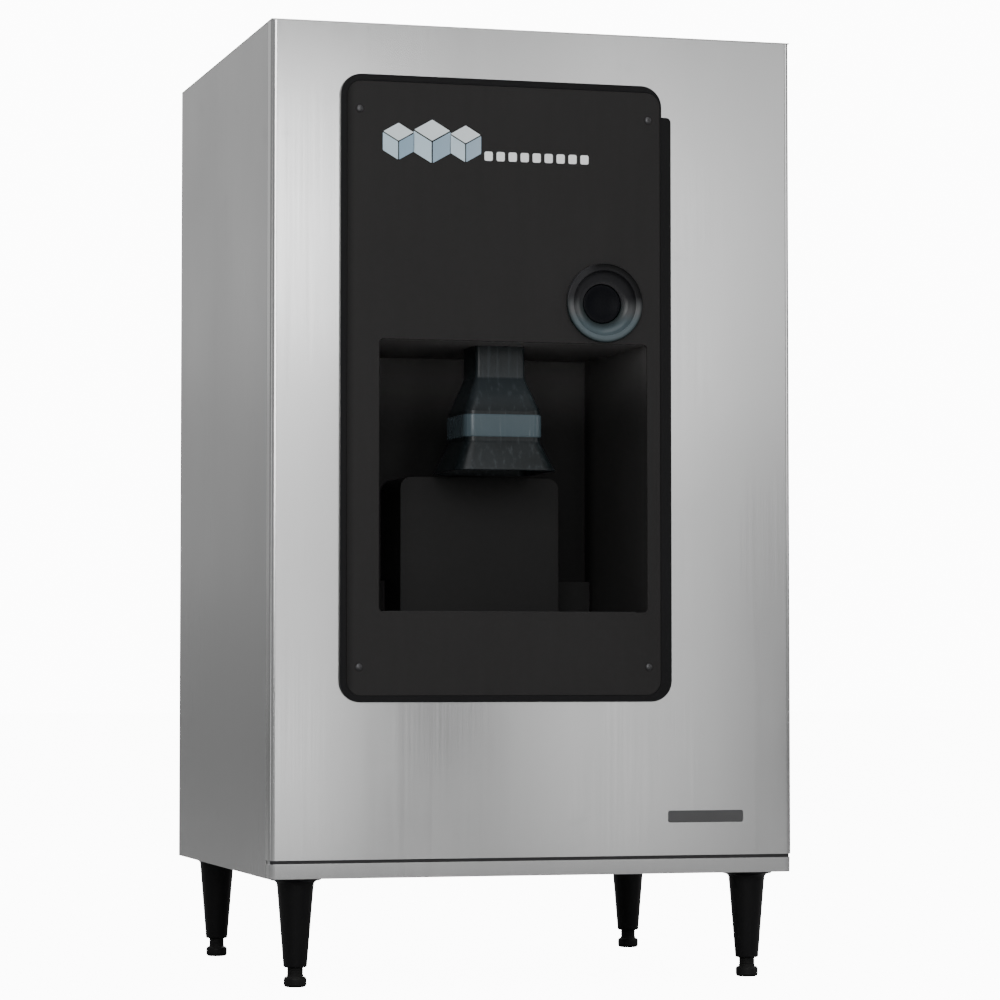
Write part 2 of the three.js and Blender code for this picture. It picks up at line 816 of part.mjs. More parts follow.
// A square neck that widens to a round-cornered skirt
function chute() {
  const neckHalf = neckWidth / 2;
  const tube = loftedTube(
    [
      [skirtWidth / 2, chuteCorner * 2, skirtBottom],
      [bandWidth / 2, chuteCorner, bandBottom],
      [bandWidth / 2, chuteCorner, bandTop],
      [neckHalf, neckCorner, shoulderBottom],
      [neckHalf, neckCorner, housingBottom - fitGap],
    ],
    neckWall,
  ).translate(bayCentre, chuteY, 0);
  const shaftHole = rodX(
    shutterShaft + stemGap, bayCentre - neckWidth, bayCentre + neckWidth, shutterY, shutterZ,
  );
  add("chute", cut(tube, shaftHole), slateBlue);
}

// Shutter flap, its lever, and the solenoid that pulls it

function shutter() {
  const inner = neckWidth / 2 - neckWall - flapClearance;
  const flapFront = chuteY - inner;
  const flap = block(
    [bayCentre - inner, flapFront, shutterZ - flapThickness / 2],
    [bayCentre + inner, shutterY, shutterZ + flapThickness / 2],
  );
  const shaft = rodX(
    shutterShaft, bayCentre - neckWidth / 2 - shutterShaft, leverX + leverThickness, shutterY, shutterZ,
  );
  add("shutter_flap", joined(flap, shaft), innerSteel);

  // The lever leans back by half the swing, so that it ends leaning forward by as much.
  const half = leverWidth / 2;
  const slotHalf = plungerPin + pinSlotGap;
  const shape = new THREE.Shape();
  const top = leverArm / Math.cos(shutterSwing / 2) + slotHalf + half / 2;
  shape.moveTo(-half, 0);
  shape.absarc(0, 0, half, Math.PI, 2 * Math.PI);
  shape.lineTo(half, top);
  shape.lineTo(-half, top);
  const slot = rounded(
    -slotHalf, slotHalf, leverArm - slotHalf, leverArm / Math.cos(shutterSwing / 2) + slotHalf, slotHalf,
  );
  const bore = rodX(shutterShaft + fitGap, -overrun, leverThickness + overrun, 0, 0);
  const lever = cut(
    alongX(shape, 0, leverThickness),
    alongX(slot, -overrun, leverThickness + overrun),
    bore,
  );
  const tilt = -shutterSwing / 2;
  add("shutter_lever", lever.rotateX(tilt).translate(leverX, shutterY, shutterZ), innerSteel);

  // The plunger's forked end holds a pin in the lever's slot.
  const pinY = shutterY + leverArm * Math.tan(shutterSwing / 2);
  const pinZ = shutterZ + leverArm;
  const middle = leverX + leverThickness / 2;
  const cheek = leverThickness / 2 + 2 * fitGap;
  const plungerEnd = pinY - leverWidth;
  const face = shutterY - solenoidGap;
  const stroke = 2 * leverArm * Math.tan(shutterSwing / 2);
  const plungerStart = face - solenoidLength + memberWall + stroke + fitGap;
  const rod = rodY(plungerRadius, plungerStart, pinY + plungerRadius, middle, pinZ);
  const gap = block(
    [middle - cheek, plungerEnd, pinZ - 2 * plungerRadius],
    [middle + cheek, pinY + 2 * plungerRadius, pinZ + 2 * plungerRadius],
  );
  const pin = rodX(plungerPin, middle - plungerRadius + fitGap, middle + plungerRadius - fitGap, pinY, pinZ);
  const plunger = solid(rod).subtract(solid(gap)).add(solid(pin));
  add("solenoid_plunger", geometryOf(plunger), innerSteel);

  const coil = block(
    [middle - solenoidWidth / 2, face - solenoidLength, pinZ - solenoidHeight / 2],
    [middle + solenoidWidth / 2, face, pinZ + solenoidHeight / 2],
  );
  const foot = block(
    [middle - solenoidWidth / 2, face - solenoidLength, shelfTop],
    [middle + solenoidWidth / 2, face, pinZ],
  );
  const bore2 = rodY(
    plungerRadius + stemGap, face - solenoidLength + memberWall, face + overrun, middle, pinZ,
  );
  add("solenoid", geometryOf(solid(coil).add(solid(foot)).subtract(solid(bore2))), motorBlue);
}

// Button, its spring and its switch

function button() {
  const rimFace = -borderProud + fitGap - bezelProud; // depths are measured behind the cabinet front
  const seat = -lipThickness - panelThickness;
  const dishInner = buttonSleeve;
  const dishOuter = bezelRadius - bezelRim;
  const dishEnd = rimFace + dishDepth;
  const profile = [];
  const sleeveEnd = dishEnd + sleeveLength;
  // Listed from the sleeve's far end, up the outside to the rim, and back down the dish.
  profile.push([stemRadius + stemGap, sleeveEnd]);
  profile.push([buttonSleeve + sleeveWall, sleeveEnd]);
  profile.push([buttonSleeve + sleeveWall, dishEnd + sleeveWall]);
  profile.push([bezelBody, seat + dishDepth / 2]);
  profile.push([bezelBody, seat]);
  profile.push([bezelRadius, seat]);
  profile.push([bezelRadius, rimFace + bezelEdge]);
  profile.push([bezelRadius - bezelEdge, rimFace]);
  for (let i = 0; i <= dishSteps; i++) {
    const angle = (i / dishSteps) * (Math.PI / 2);
    profile.push([
      dishInner + (dishOuter - dishInner) * Math.cos(angle),
      rimFace + (dishEnd - rimFace) * Math.sin(angle),
    ]);
  }
  profile.push([buttonSleeve, sleeveEnd - sleeveWall]);
  profile.push([stemRadius + stemGap, sleeveEnd - sleeveWall]);
  profile.push(profile[0]);
  const bezel = turnedForward(profile, fineSides);
  add("button_bezel", bezel.translate(buttonX, front, buttonZ), dishBlue);

  // The button is a cup with a crowned, slightly dished face and a stem.
  const faceDepth = dishEnd + buttonRecess;
  const skirtEnd = faceDepth + sleeveLength / 2;
  const stemEnd = sleeveEnd + buttonTravel / 2;
  const cap = [
    [0, stemEnd],
    [stemNub, stemEnd],
    [stemRadius, sleeveEnd],
    [stemRadius, faceDepth + sleeveWall],
    [buttonRadius - sleeveWall, faceDepth + sleeveWall],
    [buttonRadius - sleeveWall, skirtEnd],
    [buttonRadius, skirtEnd],
    [buttonRadius, faceDepth + buttonRecess],
    [buttonRadius - buttonRecess, faceDepth],
    [buttonRadius * dishShare, faceDepth],
    [buttonRadius * dishShare / 2, faceDepth + buttonRecess],
    [0, faceDepth + buttonRecess],
  ];
  add("push_button", turnedForward(cap, fineSides).translate(buttonX, front, buttonZ), black);

  // Spring round the stem, from the cap's underside to the sleeve's floor
  const springFront = front + faceDepth + sleeveWall + springWire + fitGap;
  const springBack = front + sleeveEnd - sleeveWall - springWire - fitGap;
  add("button_spring", coil(springFront, springBack), steel);

  // Switch body behind the stem, with its lever resting on the stem's end
  const stemTip = front + stemEnd;
  const leverFace = stemTip + fitGap;
  const pivotZ = buttonZ - switchArm;
  const lever = block(
    [buttonX - switchWidth / 2, leverFace, pivotZ],
    [buttonX + switchWidth / 2, leverFace + switchLever, buttonZ + stemRadius],
  );
  const eye = rodX(3 * switchLever, buttonX - switchWidth / 2, buttonX + switchWidth / 2,
    leverFace + 2 * switchLever, pivotZ);
  const leverBore = rodX(switchLever + fitGap, buttonX - switchWidth, buttonX + switchWidth,
    leverFace + 2 * switchLever, pivotZ);
  add("switch_lever", geometryOf(solid(lever).add(solid(eye)).subtract(solid(leverBore))), innerSteel);

  const bodyFront = leverFace + switchLever + buttonTravel + 4 * switchLever;
  const bodyDepth = switchWidth * 2;
  const body = block(
    [buttonX - switchWidth, bodyFront, shelfTop],
    [buttonX + switchWidth, bodyFront + bodyDepth, buttonZ + switchArm],
  );
  const ears = [-1, 1].map((side) => {
    const inner = switchWidth / 2 + fitGap;
    const x0 = buttonX + (side < 0 ? -switchWidth : inner);
    return block(
      [x0, leverFace - switchLever, pivotZ - 3 * switchLever],
      [x0 + switchWidth - inner, bodyFront + switchLever, pivotZ + 3 * switchLever],
    );
  });
  const pivot = rodX(switchLever, buttonX - switchWidth, buttonX + switchWidth,
    leverFace + 2 * switchLever, pivotZ);
  add("button_switch", joined(body, ...ears, pivot), black);
}

// A compression spring round the button's stem, one unbroken wire
function coil(y0, y1) {
  class Helix extends THREE.Curve {
    getPoint(t) {
      const angle = t * springTurns * 2 * Math.PI;
      return new THREE.Vector3(
        buttonX + springRadius * Math.cos(angle),
        y0 + t * (y1 - y0),
        buttonZ + springRadius * Math.sin(angle),
      );
    }
  }
  const section = new THREE.Shape();
  for (let i = 0; i < wireSides; i++) {
    const angle = (i * 2 * Math.PI) / wireSides;
    const point = [springWire * Math.cos(angle), springWire * Math.sin(angle)];
    if (i === 0) section.moveTo(...point);
    else section.lineTo(...point);
  }
  return new THREE.ExtrudeGeometry(section, {
    steps: springTurns * wireSteps,
    extrudePath: new Helix(),
    bevelEnabled: false,
  });
}

// Insulated bin

// The bin's section across the cabinet: straight sides, sloping floors, and a round trough for the auger.
// by is how far outside the ice space the outline lies.
function binSection(by, top) {
  const wallX = halfWidth - sheet - fitGap - foamThickness - linerWall + by;
  const r = augerRadius + augerRunning + by;
  const sin = Math.sin(slopeAngle);
  const cos = Math.cos(slopeAngle);
  const rise = (reach) => augerZ - r * cos + (reach - r * sin) * Math.tan(slopeAngle);
  const shape = new THREE.Shape();
  shape.moveTo(-wallX, top);
  shape.lineTo(-wallX, rise(wallX + bayCentre));
  shape.lineTo(bayCentre - r * sin, augerZ - r * cos);
  shape.absarc(bayCentre, augerZ, r, -Math.PI / 2 - slopeAngle, -Math.PI / 2 + slopeAngle);
  shape.lineTo(wallX, rise(wallX - bayCentre));
  shape.lineTo(wallX, top);
  return shape;
}

const bearingOuter = (shaft) => shaft + bearingRunning + bearingWall;

function bin() {
  const linerTop = roof - sheet - fitGap;
  const bushHoles = (y0, y1) => [
    rodY(bearingOuter(augerShaft) + fitGap, innerRear - overrun, y1, bayCentre, augerZ),
    rodY(bearingOuter(agitatorShaft) + fitGap, innerRear - overrun, y1, bayCentre, agitatorZ),
    rodY(bearingOuter(agitatorShaft) + fitGap, y0, innerFront + overrun, bayCentre, agitatorZ),
    rodY(augerRadius + augerRunning, y0, innerFront + overrun, bayCentre, augerZ, fineSides),
  ];
  const liner = alongY(binSection(linerWall, linerTop), innerFront - linerWall, innerRear + linerWall);
  const ice = alongY(binSection(0, linerTop + overrun), innerFront, innerRear);
  add(
    "bin_liner",
    cut(
      liner,
      ice,
      ...bushHoles(innerFront - linerWall - overrun, innerRear + linerWall + overrun),
    ),
    white,
  );

  const slab = block([-insideX, binFrontFace, binBottom], [insideX, binRearFace, linerTop]);
  const pocket = alongY(
    binSection(linerWall + fitGap, linerTop + overrun),
    innerFront - linerWall - fitGap,
    innerRear + linerWall + fitGap,
  );
  add(
    "bin_foam",
    cut(slab, pocket, ...bushHoles(binFrontFace - overrun, binRearFace + overrun)),
    foam,
  );
}

// Auger, its housing over the chute, and its bearings

function housing() {
  const r = augerRadius + augerRunning;
  const dropHalf = neckWidth / 2 - neckWall;
  const shell = block(
    [bayCentre - housingOuter, housingFront, housingBottom],
    [bayCentre + housingOuter, binFrontFace - fitGap, augerZ + housingOuter],
  );
  const bore = rodY(r, housingFront + housingWall, binFrontFace + overrun, bayCentre, augerZ, fineSides);
  const drop = block(
    [bayCentre - dropHalf, chuteY - dropHalf, housingBottom - overrun],
    [bayCentre + dropHalf, chuteY + dropHalf, augerZ],
  );
  const bushHole = bearingOuter(augerShaft) + fitGap;
  const seat = rodY(
    bushHole, housingFront - overrun, housingFront + housingWall + overrun, bayCentre, augerZ,
  );
  add("auger_housing", cut(shell, bore, drop, seat), white);
}

// A flanged bush round a shaft along Y. The flange lies on the side that sign points to.
function bush(shaft, y0, y1, z, flangeSide) {
  const inner = shaft + bearingRunning;
  const outer = bearingOuter(shaft);
  const brim = outer + bearingFlange;
  const t = bearingFlangeThickness;
  const length = y1 - y0;
  const profile = [
    [inner, 0], [brim, 0], [brim, t], [outer, t], [outer, t + length], [inner, t + length], [inner, 0],
  ];
  const ring = toY(turned(profile, roundSides));
  if (flangeSide > 0) return ring.rotateX(Math.PI).translate(bayCentre, y1 + t, z);
  return ring.translate(bayCentre, y0 - t, z);
}

function bearings() {
  add(
    "auger_front_bearing",
    bush(augerShaft, housingFront, housingFront + housingWall, augerZ, -1),
    brass,
  );
  add("auger_rear_bearing", bush(augerShaft, innerRear, plateBack, augerZ, 1), brass);
  add("agitator_rear_bearing", bush(agitatorShaft, innerRear, plateBack, agitatorZ, 1), brass);
  add(
    "agitator_front_bearing",
    bush(agitatorShaft, innerFront - foamThickness / 2, innerFront, agitatorZ, 1),
    brass,
  );
}

// The flight is a ribbon that winds round the shaft. Its root is sunk in the shaft.
function flight(y0, y1) {
  const turns = (y1 - y0) / augerPitch;
  const steps = Math.ceil(turns * flightSteps);
  const root = augerShaft * rootShare;
  const half = flightThickness / 2;
  const positions = [];
  for (let i = 0; i <= steps; i++) {
    const angle = (i / steps) * turns * 2 * Math.PI;
    const y = y0 + ((y1 - y0) * i) / steps;
    const point = (r, dy) => [r * Math.cos(angle), y + dy, r * Math.sin(angle)];
    positions.push(...point(root, -half), ...point(augerRadius, -half));
    positions.push(...point(augerRadius, half), ...point(root, half));
  }
  const index = [];
  for (let i = 0; i < steps; i++) {
    for (let k = 0; k < 4; k++) {
      const a = i * 4 + k;
      const b = i * 4 + ((k + 1) % 4);
      index.push(a, b, b + 4, a, b + 4, a + 4);
    }
  }
  index.push(0, 2, 1, 0, 3, 2);
  const last = steps * 4;
  index.push(last, last + 1, last + 2, last, last + 2, last + 3);
  const geometry = new THREE.BufferGeometry();
  geometry.setAttribute("position", new THREE.Float32BufferAttribute(positions, 3));
  geometry.setIndex(index);
  return geometry;
}

function augerAndAgitator() {
  const shaftFront = housingFront - bearingFlangeThickness;
  const shaftRear = pinionY + gearWidth / 2 + gearboxGap + gearboxDepth / 2;
  const shaft = rodY(augerShaft, shaftFront, shaftRear, 0, 0);
  const blades = flight(housingFront + housingWall + augerRunning, innerRear - augerRunning);
  const body = solid(shaft).add(solid(blades));
  add("auger", geometryOf(body).translate(bayCentre, 0, augerZ), innerSteel);

  const start = innerFront - foamThickness / 2 + fitGap;
  const end = pinionY + gearWidth / 2 + bearingFlangeThickness;
  let bar = solid(rodY(agitatorShaft, start, end, 0, 0));
  const span = innerRear - innerFront;
  for (let i = 0; i < agitatorRods; i++) {
    const y = innerFront + (span * (i + 1)) / (agitatorRods + 1);
    const rod = rodZ(agitatorRod, -agitatorReach, agitatorReach, rodSides);
    bar = bar.add(solid(rod.rotateY((i * Math.PI) / agitatorRods).translate(0, y, 0)));
  }
  add("agitator", geometryOf(bar).translate(bayCentre, 0, agitatorZ), innerSteel);
}

// Gears

// A spur gear's outline: involute flanks, thinned by the backlash, a tooth centred on the first angle.
function gearOutline(teeth, firstTooth) {
  const pitchR = (gearModule * teeth) / 2;
  const baseR = pitchR * Math.cos(pressureAngle);
  const tipR = pitchR + gearModule * tipShare;
  const rootR = pitchR - gearModule * rootDepthShare;
  const involute = (r) => {
    const a = Math.acos(Math.min(1, baseR / r));
    return Math.tan(a) - a;
  };
  const halfTooth = Math.PI / (2 * teeth) - gearBacklash / (4 * pitchR) + involute(pitchR);
  const flankStart = Math.max(baseR, rootR);
  const outline = [];
  for (let tooth = 0; tooth < teeth; tooth++) {
    const middle = firstTooth + (tooth * 2 * Math.PI) / teeth;
    const foot = [rootR, -(halfTooth - involute(flankStart))];
    const points = flankStart > rootR ? [foot] : [];
    for (let i = 0; i <= flankSteps; i++) {
      const r = flankStart + ((tipR - flankStart) * i) / flankSteps;
      points.push([r, -(halfTooth - involute(r))]);
    }
    const mirrored = points.map(([r, angle]) => [r, -angle]).reverse();
    for (const [r, angle] of [...points, ...mirrored]) {
      const x = r * Math.cos(middle + angle);
      const z = r * Math.sin(middle + angle);
      outline.push([x, z]);
    }
  }
  return outlineOf(outline);
}

function gears() {
  const y0 = pinionY - gearWidth / 2;
  const y1 = pinionY + gearWidth / 2;
  // At rest a pinion tooth points straight up into a gap of the large gear.
  const pinion = alongY(gearOutline(pinionTeeth, Math.PI / 2), y0, y1);
  const gear = alongY(gearOutline(gearTeeth, -Math.PI / 2 + Math.PI / gearTeeth), y0, y1);
  const pinionBore = rodY(augerShaft + fitGap, y0 - overrun, y1 + overrun, 0, 0);
  const gearBore = rodY(agitatorShaft + fitGap, y0 - overrun, y1 + overrun, 0, 0);
  add("auger_pinion", cut(pinion, pinionBore).translate(bayCentre, 0, augerZ), innerSteel);
  const holes = [];
  const webR = ((gearModule * gearTeeth) / 2 + hubRadius) / 2;
  for (let i = 0; i < webHoles; i++) {
    const angle = (i * 2 * Math.PI) / webHoles;
    const [x, z] = [webR * Math.cos(angle), webR * Math.sin(angle)];
    holes.push(rodY(webHole, y0 - overrun, y1 + overrun, x, z, rodSides));
  }
  add("agitator_gear", cut(gear, gearBore, ...holes).translate(bayCentre, 0, agitatorZ), white);
}

// Gearbox and motor on a plate behind the bin

function drive() {
  const plateTop = agitatorZ + bearingOuter(agitatorShaft) + bearingFlange + plateMargin;
  const plateLow = augerZ - gearboxDown - plateMargin / 2;
  const plateHalf = gearboxHalf + plateMargin;
  const plate = alongY(
    rounded(bayCentre - plateHalf, bayCentre + plateHalf, plateLow, plateTop, plateMargin),
    binRearFace + fitGap, plateBack,
  );
  add(
    "drive_plate",
    cut(
      plate,
      rodY(bearingOuter(augerShaft) + fitGap, binRearFace - overrun, pinionY, bayCentre, augerZ),
      rodY(bearingOuter(agitatorShaft) + fitGap, binRearFace - overrun, pinionY, bayCentre, agitatorZ),
    ),
    innerSteel,
  );

  const y0 = pinionY + gearWidth / 2 + gearboxGap;
  const low = augerZ - gearboxDown;
  const box = alongY(
    rounded(bayCentre - gearboxHalf, bayCentre + gearboxHalf, low, augerZ + gearboxUp, gearboxCorner),
    y0, y0 + gearboxDepth,
  );
  const pillars = [-1, 1].flatMap((side) =>
    [-gearboxDown + 2 * pillarRadius, pillarRadius].map((dz) =>
      rodY(pillarRadius, plateBack, y0 + pillarRadius,
        bayCentre + side * (gearboxHalf - 1.5 * pillarRadius), augerZ + dz, rodSides),
    ),
  );
  const body = [box, ...pillars].map(solid).reduce((sum, piece) => sum.add(piece));
  const bore = rodY(
    augerShaft + bearingRunning, y0 - overrun, y0 + gearboxDepth / 2 + overrun, bayCentre, augerZ,
  );
  add("gearbox", geometryOf(body.subtract(solid(bore))), motorBlue);

  const motorTop = low;
  const motor = turned(
    [
      [0, motorTop - motorLength],
      [motorRadius - gearboxGap, motorTop - motorLength],
      [motorRadius, motorTop - motorLength + gearboxGap],
      [motorRadius, motorTop - 2 * gearboxGap],
      [motorRadius - gearboxGap, motorTop - 2 * gearboxGap],
      [motorRadius - gearboxGap, motorTop - fitGap],
      [0, motorTop - fitGap],
    ],
    fineSides / 2,
  );
  add("drive_motor", motor.translate(bayCentre, y0 + gearboxDepth / 2, 0), motorBlue);
}

// Sink, grille and drain

function sinkAndGrille() {
  const top = bayBottom - bayWall;
  const x0 = sinkLeft + sinkRim + fitGap;
  const x1 = sinkRight - sinkRim - fitGap;
  const y0 = sinkFront + sinkRim + fitGap;
  const y1 = sinkRear - sinkRim - fitGap;
  const brim = block([sinkLeft, sinkFront, top - sinkWall], [sinkRight, sinkRear, top]);
  const basin = block([x0, y0, top - sinkDepth], [x1, y1, top - sinkWall / 2]);
  const hollow = block(
    [x0 + sinkWall, y0 + sinkWall, top - sinkDepth + sinkWall],
    [x1 - sinkWall, y1 - sinkWall, top + overrun],
  );
  const sinkY = (y0 + y1) / 2;
  const spout = rodZ(drainRadius, top - sinkDepth - 2 * drainRadius, top - sinkDepth + sinkWall / 2)
    .translate(drainX, sinkY, 0);
  const outlet = rodZ(drainRadius - sinkWall, top - sinkDepth - 3 * drainRadius, top)
    .translate(drainX, sinkY, 0);
  const sink = solid(brim)
    .add(solid(basin))
    .add(solid(spout))
    .subtract(solid(hollow))
    .subtract(solid(outlet));
  add("drip_sink", geometryOf(sink), innerSteel);

  // The grille lies in the liner's opening, on the sink's brim, nearly level with the bay's floor.
  const gap = 2 * fitGap;
  const gx0 = x0 + gap;
  const gx1 = x1 - gap;
  const gy0 = y0 + gap;
  const gy1 = y1 - gap;
  const low = top + fitGap;
  let body = solid(
    block(
      [sinkLeft + sinkLap + gap, sinkFront + sinkLap + gap, low],
      [sinkRight - sinkLap - gap, sinkRear - sinkLap - gap, low + grilleThickness],
    ),
  );
  const openX = gx1 - gx0 - 2 * grilleEdge;
  const pitch = (openX + grilleBar) / (grilleBars + 1);
  for (let i = 0; i <= grilleBars; i++) {
    const x = gx0 + grilleEdge + i * pitch;
    body = body.subtract(
      solid(
        block(
          [x, gy0 + grilleEdge, low - overrun],
          [x + pitch - grilleBar, gy1 - grilleEdge, low + 2 * grilleThickness],
        ),
      ),
    );
  }
  add("grille", geometryOf(body), innerSteel);

  // Drain hose from the sink's spout to the fitting on the rear panel
  const hoseTop = top - sinkDepth - 2 * drainRadius - fitGap;
  const hoseEnd = rear - sheet - drainFittingDepth - fitGap;
  const run = hoseEnd - sinkY;
  const neckEnd = hoseTop - hoseNeck;
  const drop = neckEnd - drainZ;
  const route = [
    [drainX, sinkY, hoseTop],
    [drainX, sinkY, neckEnd],
    ...hoseShares.map(([along, down]) => [drainX, sinkY + run * along, neckEnd - drop * down]),
  ];
  add("drain_hose", tubeAlong(route, drainRadius), rubber);

  const fitting = turned(
    [
      [0, 0],
      [drainBore, 0],
      [drainBore, drainFittingDepth + sheet],
      [drainNut, drainFittingDepth + sheet + fitGap],
      [drainNut, drainFittingDepth + sheet + rearReach - fitGap],
      [drainBore, drainFittingDepth + sheet + rearReach],
      [drainBore - sinkWall, drainFittingDepth + sheet + rearReach],
      [drainBore - sinkWall, sinkWall],
      [0, sinkWall],
    ],
    roundSides,
  );
  add("drain_fitting", toY(fitting).translate(drainX, rear - sheet - drainFittingDepth, drainZ), black);
}

function tubeAlong(route, radius) {
  const path = new THREE.CatmullRomCurve3(route.map((p) => new THREE.Vector3(...p)));
  const section = new THREE.Shape();
  for (let i = 0; i < hoseSides; i++) {
    const angle = (i * 2 * Math.PI) / hoseSides;
    const point = [radius * Math.cos(angle), radius * Math.sin(angle)];
    if (i === 0) section.moveTo(...point);
    else section.lineTo(...point);
  }
  return new THREE.ExtrudeGeometry(section, { steps: hoseSteps, extrudePath: path, bevelEnabled: false });
}

// Fill lid

function lid() {
  const low = roof + gasketHeight;
  const high = low + lidPlate;
  const axisY = lidRearEdge + knuckleRadius + hingeStandOff;
  const axisZ = low + knuckleRadius / 2;
  const plate = alongZ(rounded(lidLeft, lidRight, lidFrontEdge, lidRearEdge, gasketWidth / 2), low, high);
  const plug = block(
    [lidLeft + plugInset, lidFrontEdge + plugInset, roof - lidPlugDepth],
    [lidRight - plugInset, lidRearEdge - plugInset, low + lidPlate / 2],
  );
  let body = solid(plate).add(solid(plug));
  for (const side of [-1, 1]) {
    const x0 = side * knuckleX - knuckleLength / 2;
    const x1 = side * knuckleX + knuckleLength / 2;
    const arm = block([x0, lidRearEdge - gasketWidth, low], [x1, axisY, axisZ + knuckleRadius / 2]);
    body = body.add(solid(arm)).add(solid(rodX(knuckleRadius, x0, x1, axisY, axisZ)));
  }
  const bore = rodX(hingePinRadius + fitGap, lidLeft, lidRight, axisY, axisZ);
  add("fill_lid", geometryOf(body.subtract(solid(bore))), steel);

  const ring = alongZ(
    rounded(
      lidLeft + gasketInset, lidRight - gasketInset, lidFrontEdge + gasketInset, lidRearEdge - gasketInset,
      gasketWidth / 2,
    ),
    roof, low - fitGap,
  );
  const hole = block(
    [lidLeft + gasketInset + gasketWidth, lidFrontEdge + gasketInset + gasketWidth, roof - overrun],
    [lidRight - gasketInset - gasketWidth, lidRearEdge - gasketInset - gasketWidth, low + overrun],
  );
  add("lid_gasket", cut(ring, hole), rubber);

  // Fixed half of the hinge: a strip on the top panel with an ear on each side of each knuckle
  const stripX = knuckleX + knuckleLength / 2 + fitGap + earThickness;
  const stripY = axisY + knuckleRadius + fitGap;
  const strip = block([-stripX, stripY, roof], [stripX, stripY + gasketWidth, roof + earThickness / 2]);
  let hinge = solid(strip);
  for (const side of [-1, 1]) {
    for (const end of [-1, 1]) {
      const near = side * knuckleX + end * (knuckleLength / 2 + fitGap);
      const far = near + end * earThickness;
      const x0 = Math.min(near, far);
      const x1 = Math.max(near, far);
      const ear = block([x0, axisY, roof], [x1, stripY + earThickness, axisZ + knuckleRadius / 2]);
      hinge = hinge.add(solid(ear)).add(solid(rodX(knuckleRadius - fitGap, x0, x1, axisY, axisZ)));
    }
  }
  const pinHole = rodX(hingePinRadius + fitGap, -stripX - overrun, stripX + overrun, axisY, axisZ);
  add("lid_hinge", geometryOf(hinge.subtract(solid(pinHole))), innerSteel);
  add("lid_hinge_pin", rodX(hingePinRadius, -stripX - fitGap, stripX + fitGap, axisY, axisZ), innerSteel);
}

// Electrical pieces

function electrical() {
  const boxFront = front + boxFrontGap;
  const box = block(
    [boxLeft, boxFront, shelfTop],
    [boxRight, boxFront + boxDepth, shelfTop + boxHeight],
  );
  const cover = block(
    [boxLeft - boxCover, boxFront - boxCover, shelfTop + boxCover],
    [boxRight + boxCover, boxFront + boxCover, shelfTop + boxHeight + boxCover],
  );
  add("control_box", joined(box, cover), innerSteel);

  // Inlet and rocker share one moulded housing on the rear panel.
  const brim = block(
    [inletX - inletWidth / 2 - inletBrim, rear, inletZ - inletHeight / 2 - inletBrim],
    [inletX + inletWidth / 2 + inletBrim, rear + inletBrimThickness, rockerZ + rockerHalf + inletBrim],
  );
  const shell = block(
    [inletX - inletWidth / 2, rear - inletDepth, inletZ - inletHeight / 2],
    [inletX + inletWidth / 2, rear + inletBrimThickness / 2, inletZ + inletHeight / 2],
  );
  const socket = block(
    [inletX - inletWidth / 2 + inletBrimThickness, rear - inletDepth + inletBrimThickness,
      inletZ - inletHeight / 2 + inletBrimThickness],
    [
      inletX + inletWidth / 2 - inletBrimThickness,
      rear + overrun,
      inletZ + inletHeight / 2 - inletBrimThickness,
    ],
  );
  const pins = [-1, 0, 1].map((i) =>
    block(
      [
        inletX + (i * inletWidth) / 4 - pinHalf,
        rear - inletDepth + inletBrimThickness / 2,
        inletZ - 2 * pinHalf,
      ],
      [inletX + (i * inletWidth) / 4 + pinHalf, rear - inletBrimThickness, inletZ + 2 * pinHalf],
    ),
  );
  // The rocker's cradle is two cheeks with a pivot between them.
  const pivotY = rear + inletBrimThickness + rockerPivot;
  const cheeks = [-1, 1].map((side) => {
    const near = inletX + side * (rockerWidth / 2 + fitGap);
    const far = near + side * inletBrimThickness;
    return block(
      [Math.min(near, far), rear, rockerZ - rockerHalf / 2],
      [Math.max(near, far), pivotY + 2 * rockerPin, rockerZ + rockerHalf / 2],
    );
  });
  const pivot = rodX(
    rockerPin, inletX - rockerWidth / 2 - inletBrimThickness, inletX + rockerWidth / 2 + inletBrimThickness,
    pivotY, rockerZ, rodSides,
  );
  let body = solid(brim).add(solid(shell)).subtract(solid(socket));
  for (const piece of [...pins, ...cheeks, pivot]) body = body.add(solid(piece));
  add("power_inlet", geometryOf(body), black);

  // Rocker: a bar with a V face on the cradle's pivot, tipped to one side at rest
  const outline = outlineOf([
    [-rockerBack, -rockerFoot],
    [rockerEdge, -rockerHalf],
    [rockerTip, -rockerHalf],
    [rockerWaist, 0],
    [rockerTip, rockerHalf],
    [rockerEdge, rockerHalf],
    [-rockerBack, rockerFoot],
  ]);
  const rocker = cut(
    alongX(outline, inletX - rockerWidth / 2, inletX + rockerWidth / 2),
    rodX(rockerPin + fitGap, inletX - rockerWidth, inletX + rockerWidth, 0, 0, rodSides),
  );
  add("power_rocker", rocker.rotateX(rockerSwing).translate(0, pivotY, rockerZ), black);
}

// Legs and feet

function legPlaces() {
  const x = halfWidth - legInsetX;
  const y = cabinetDepth / 2 - legInsetY;
  return [[-x, -y], [x, -y], [-x, y], [x, y]];
}

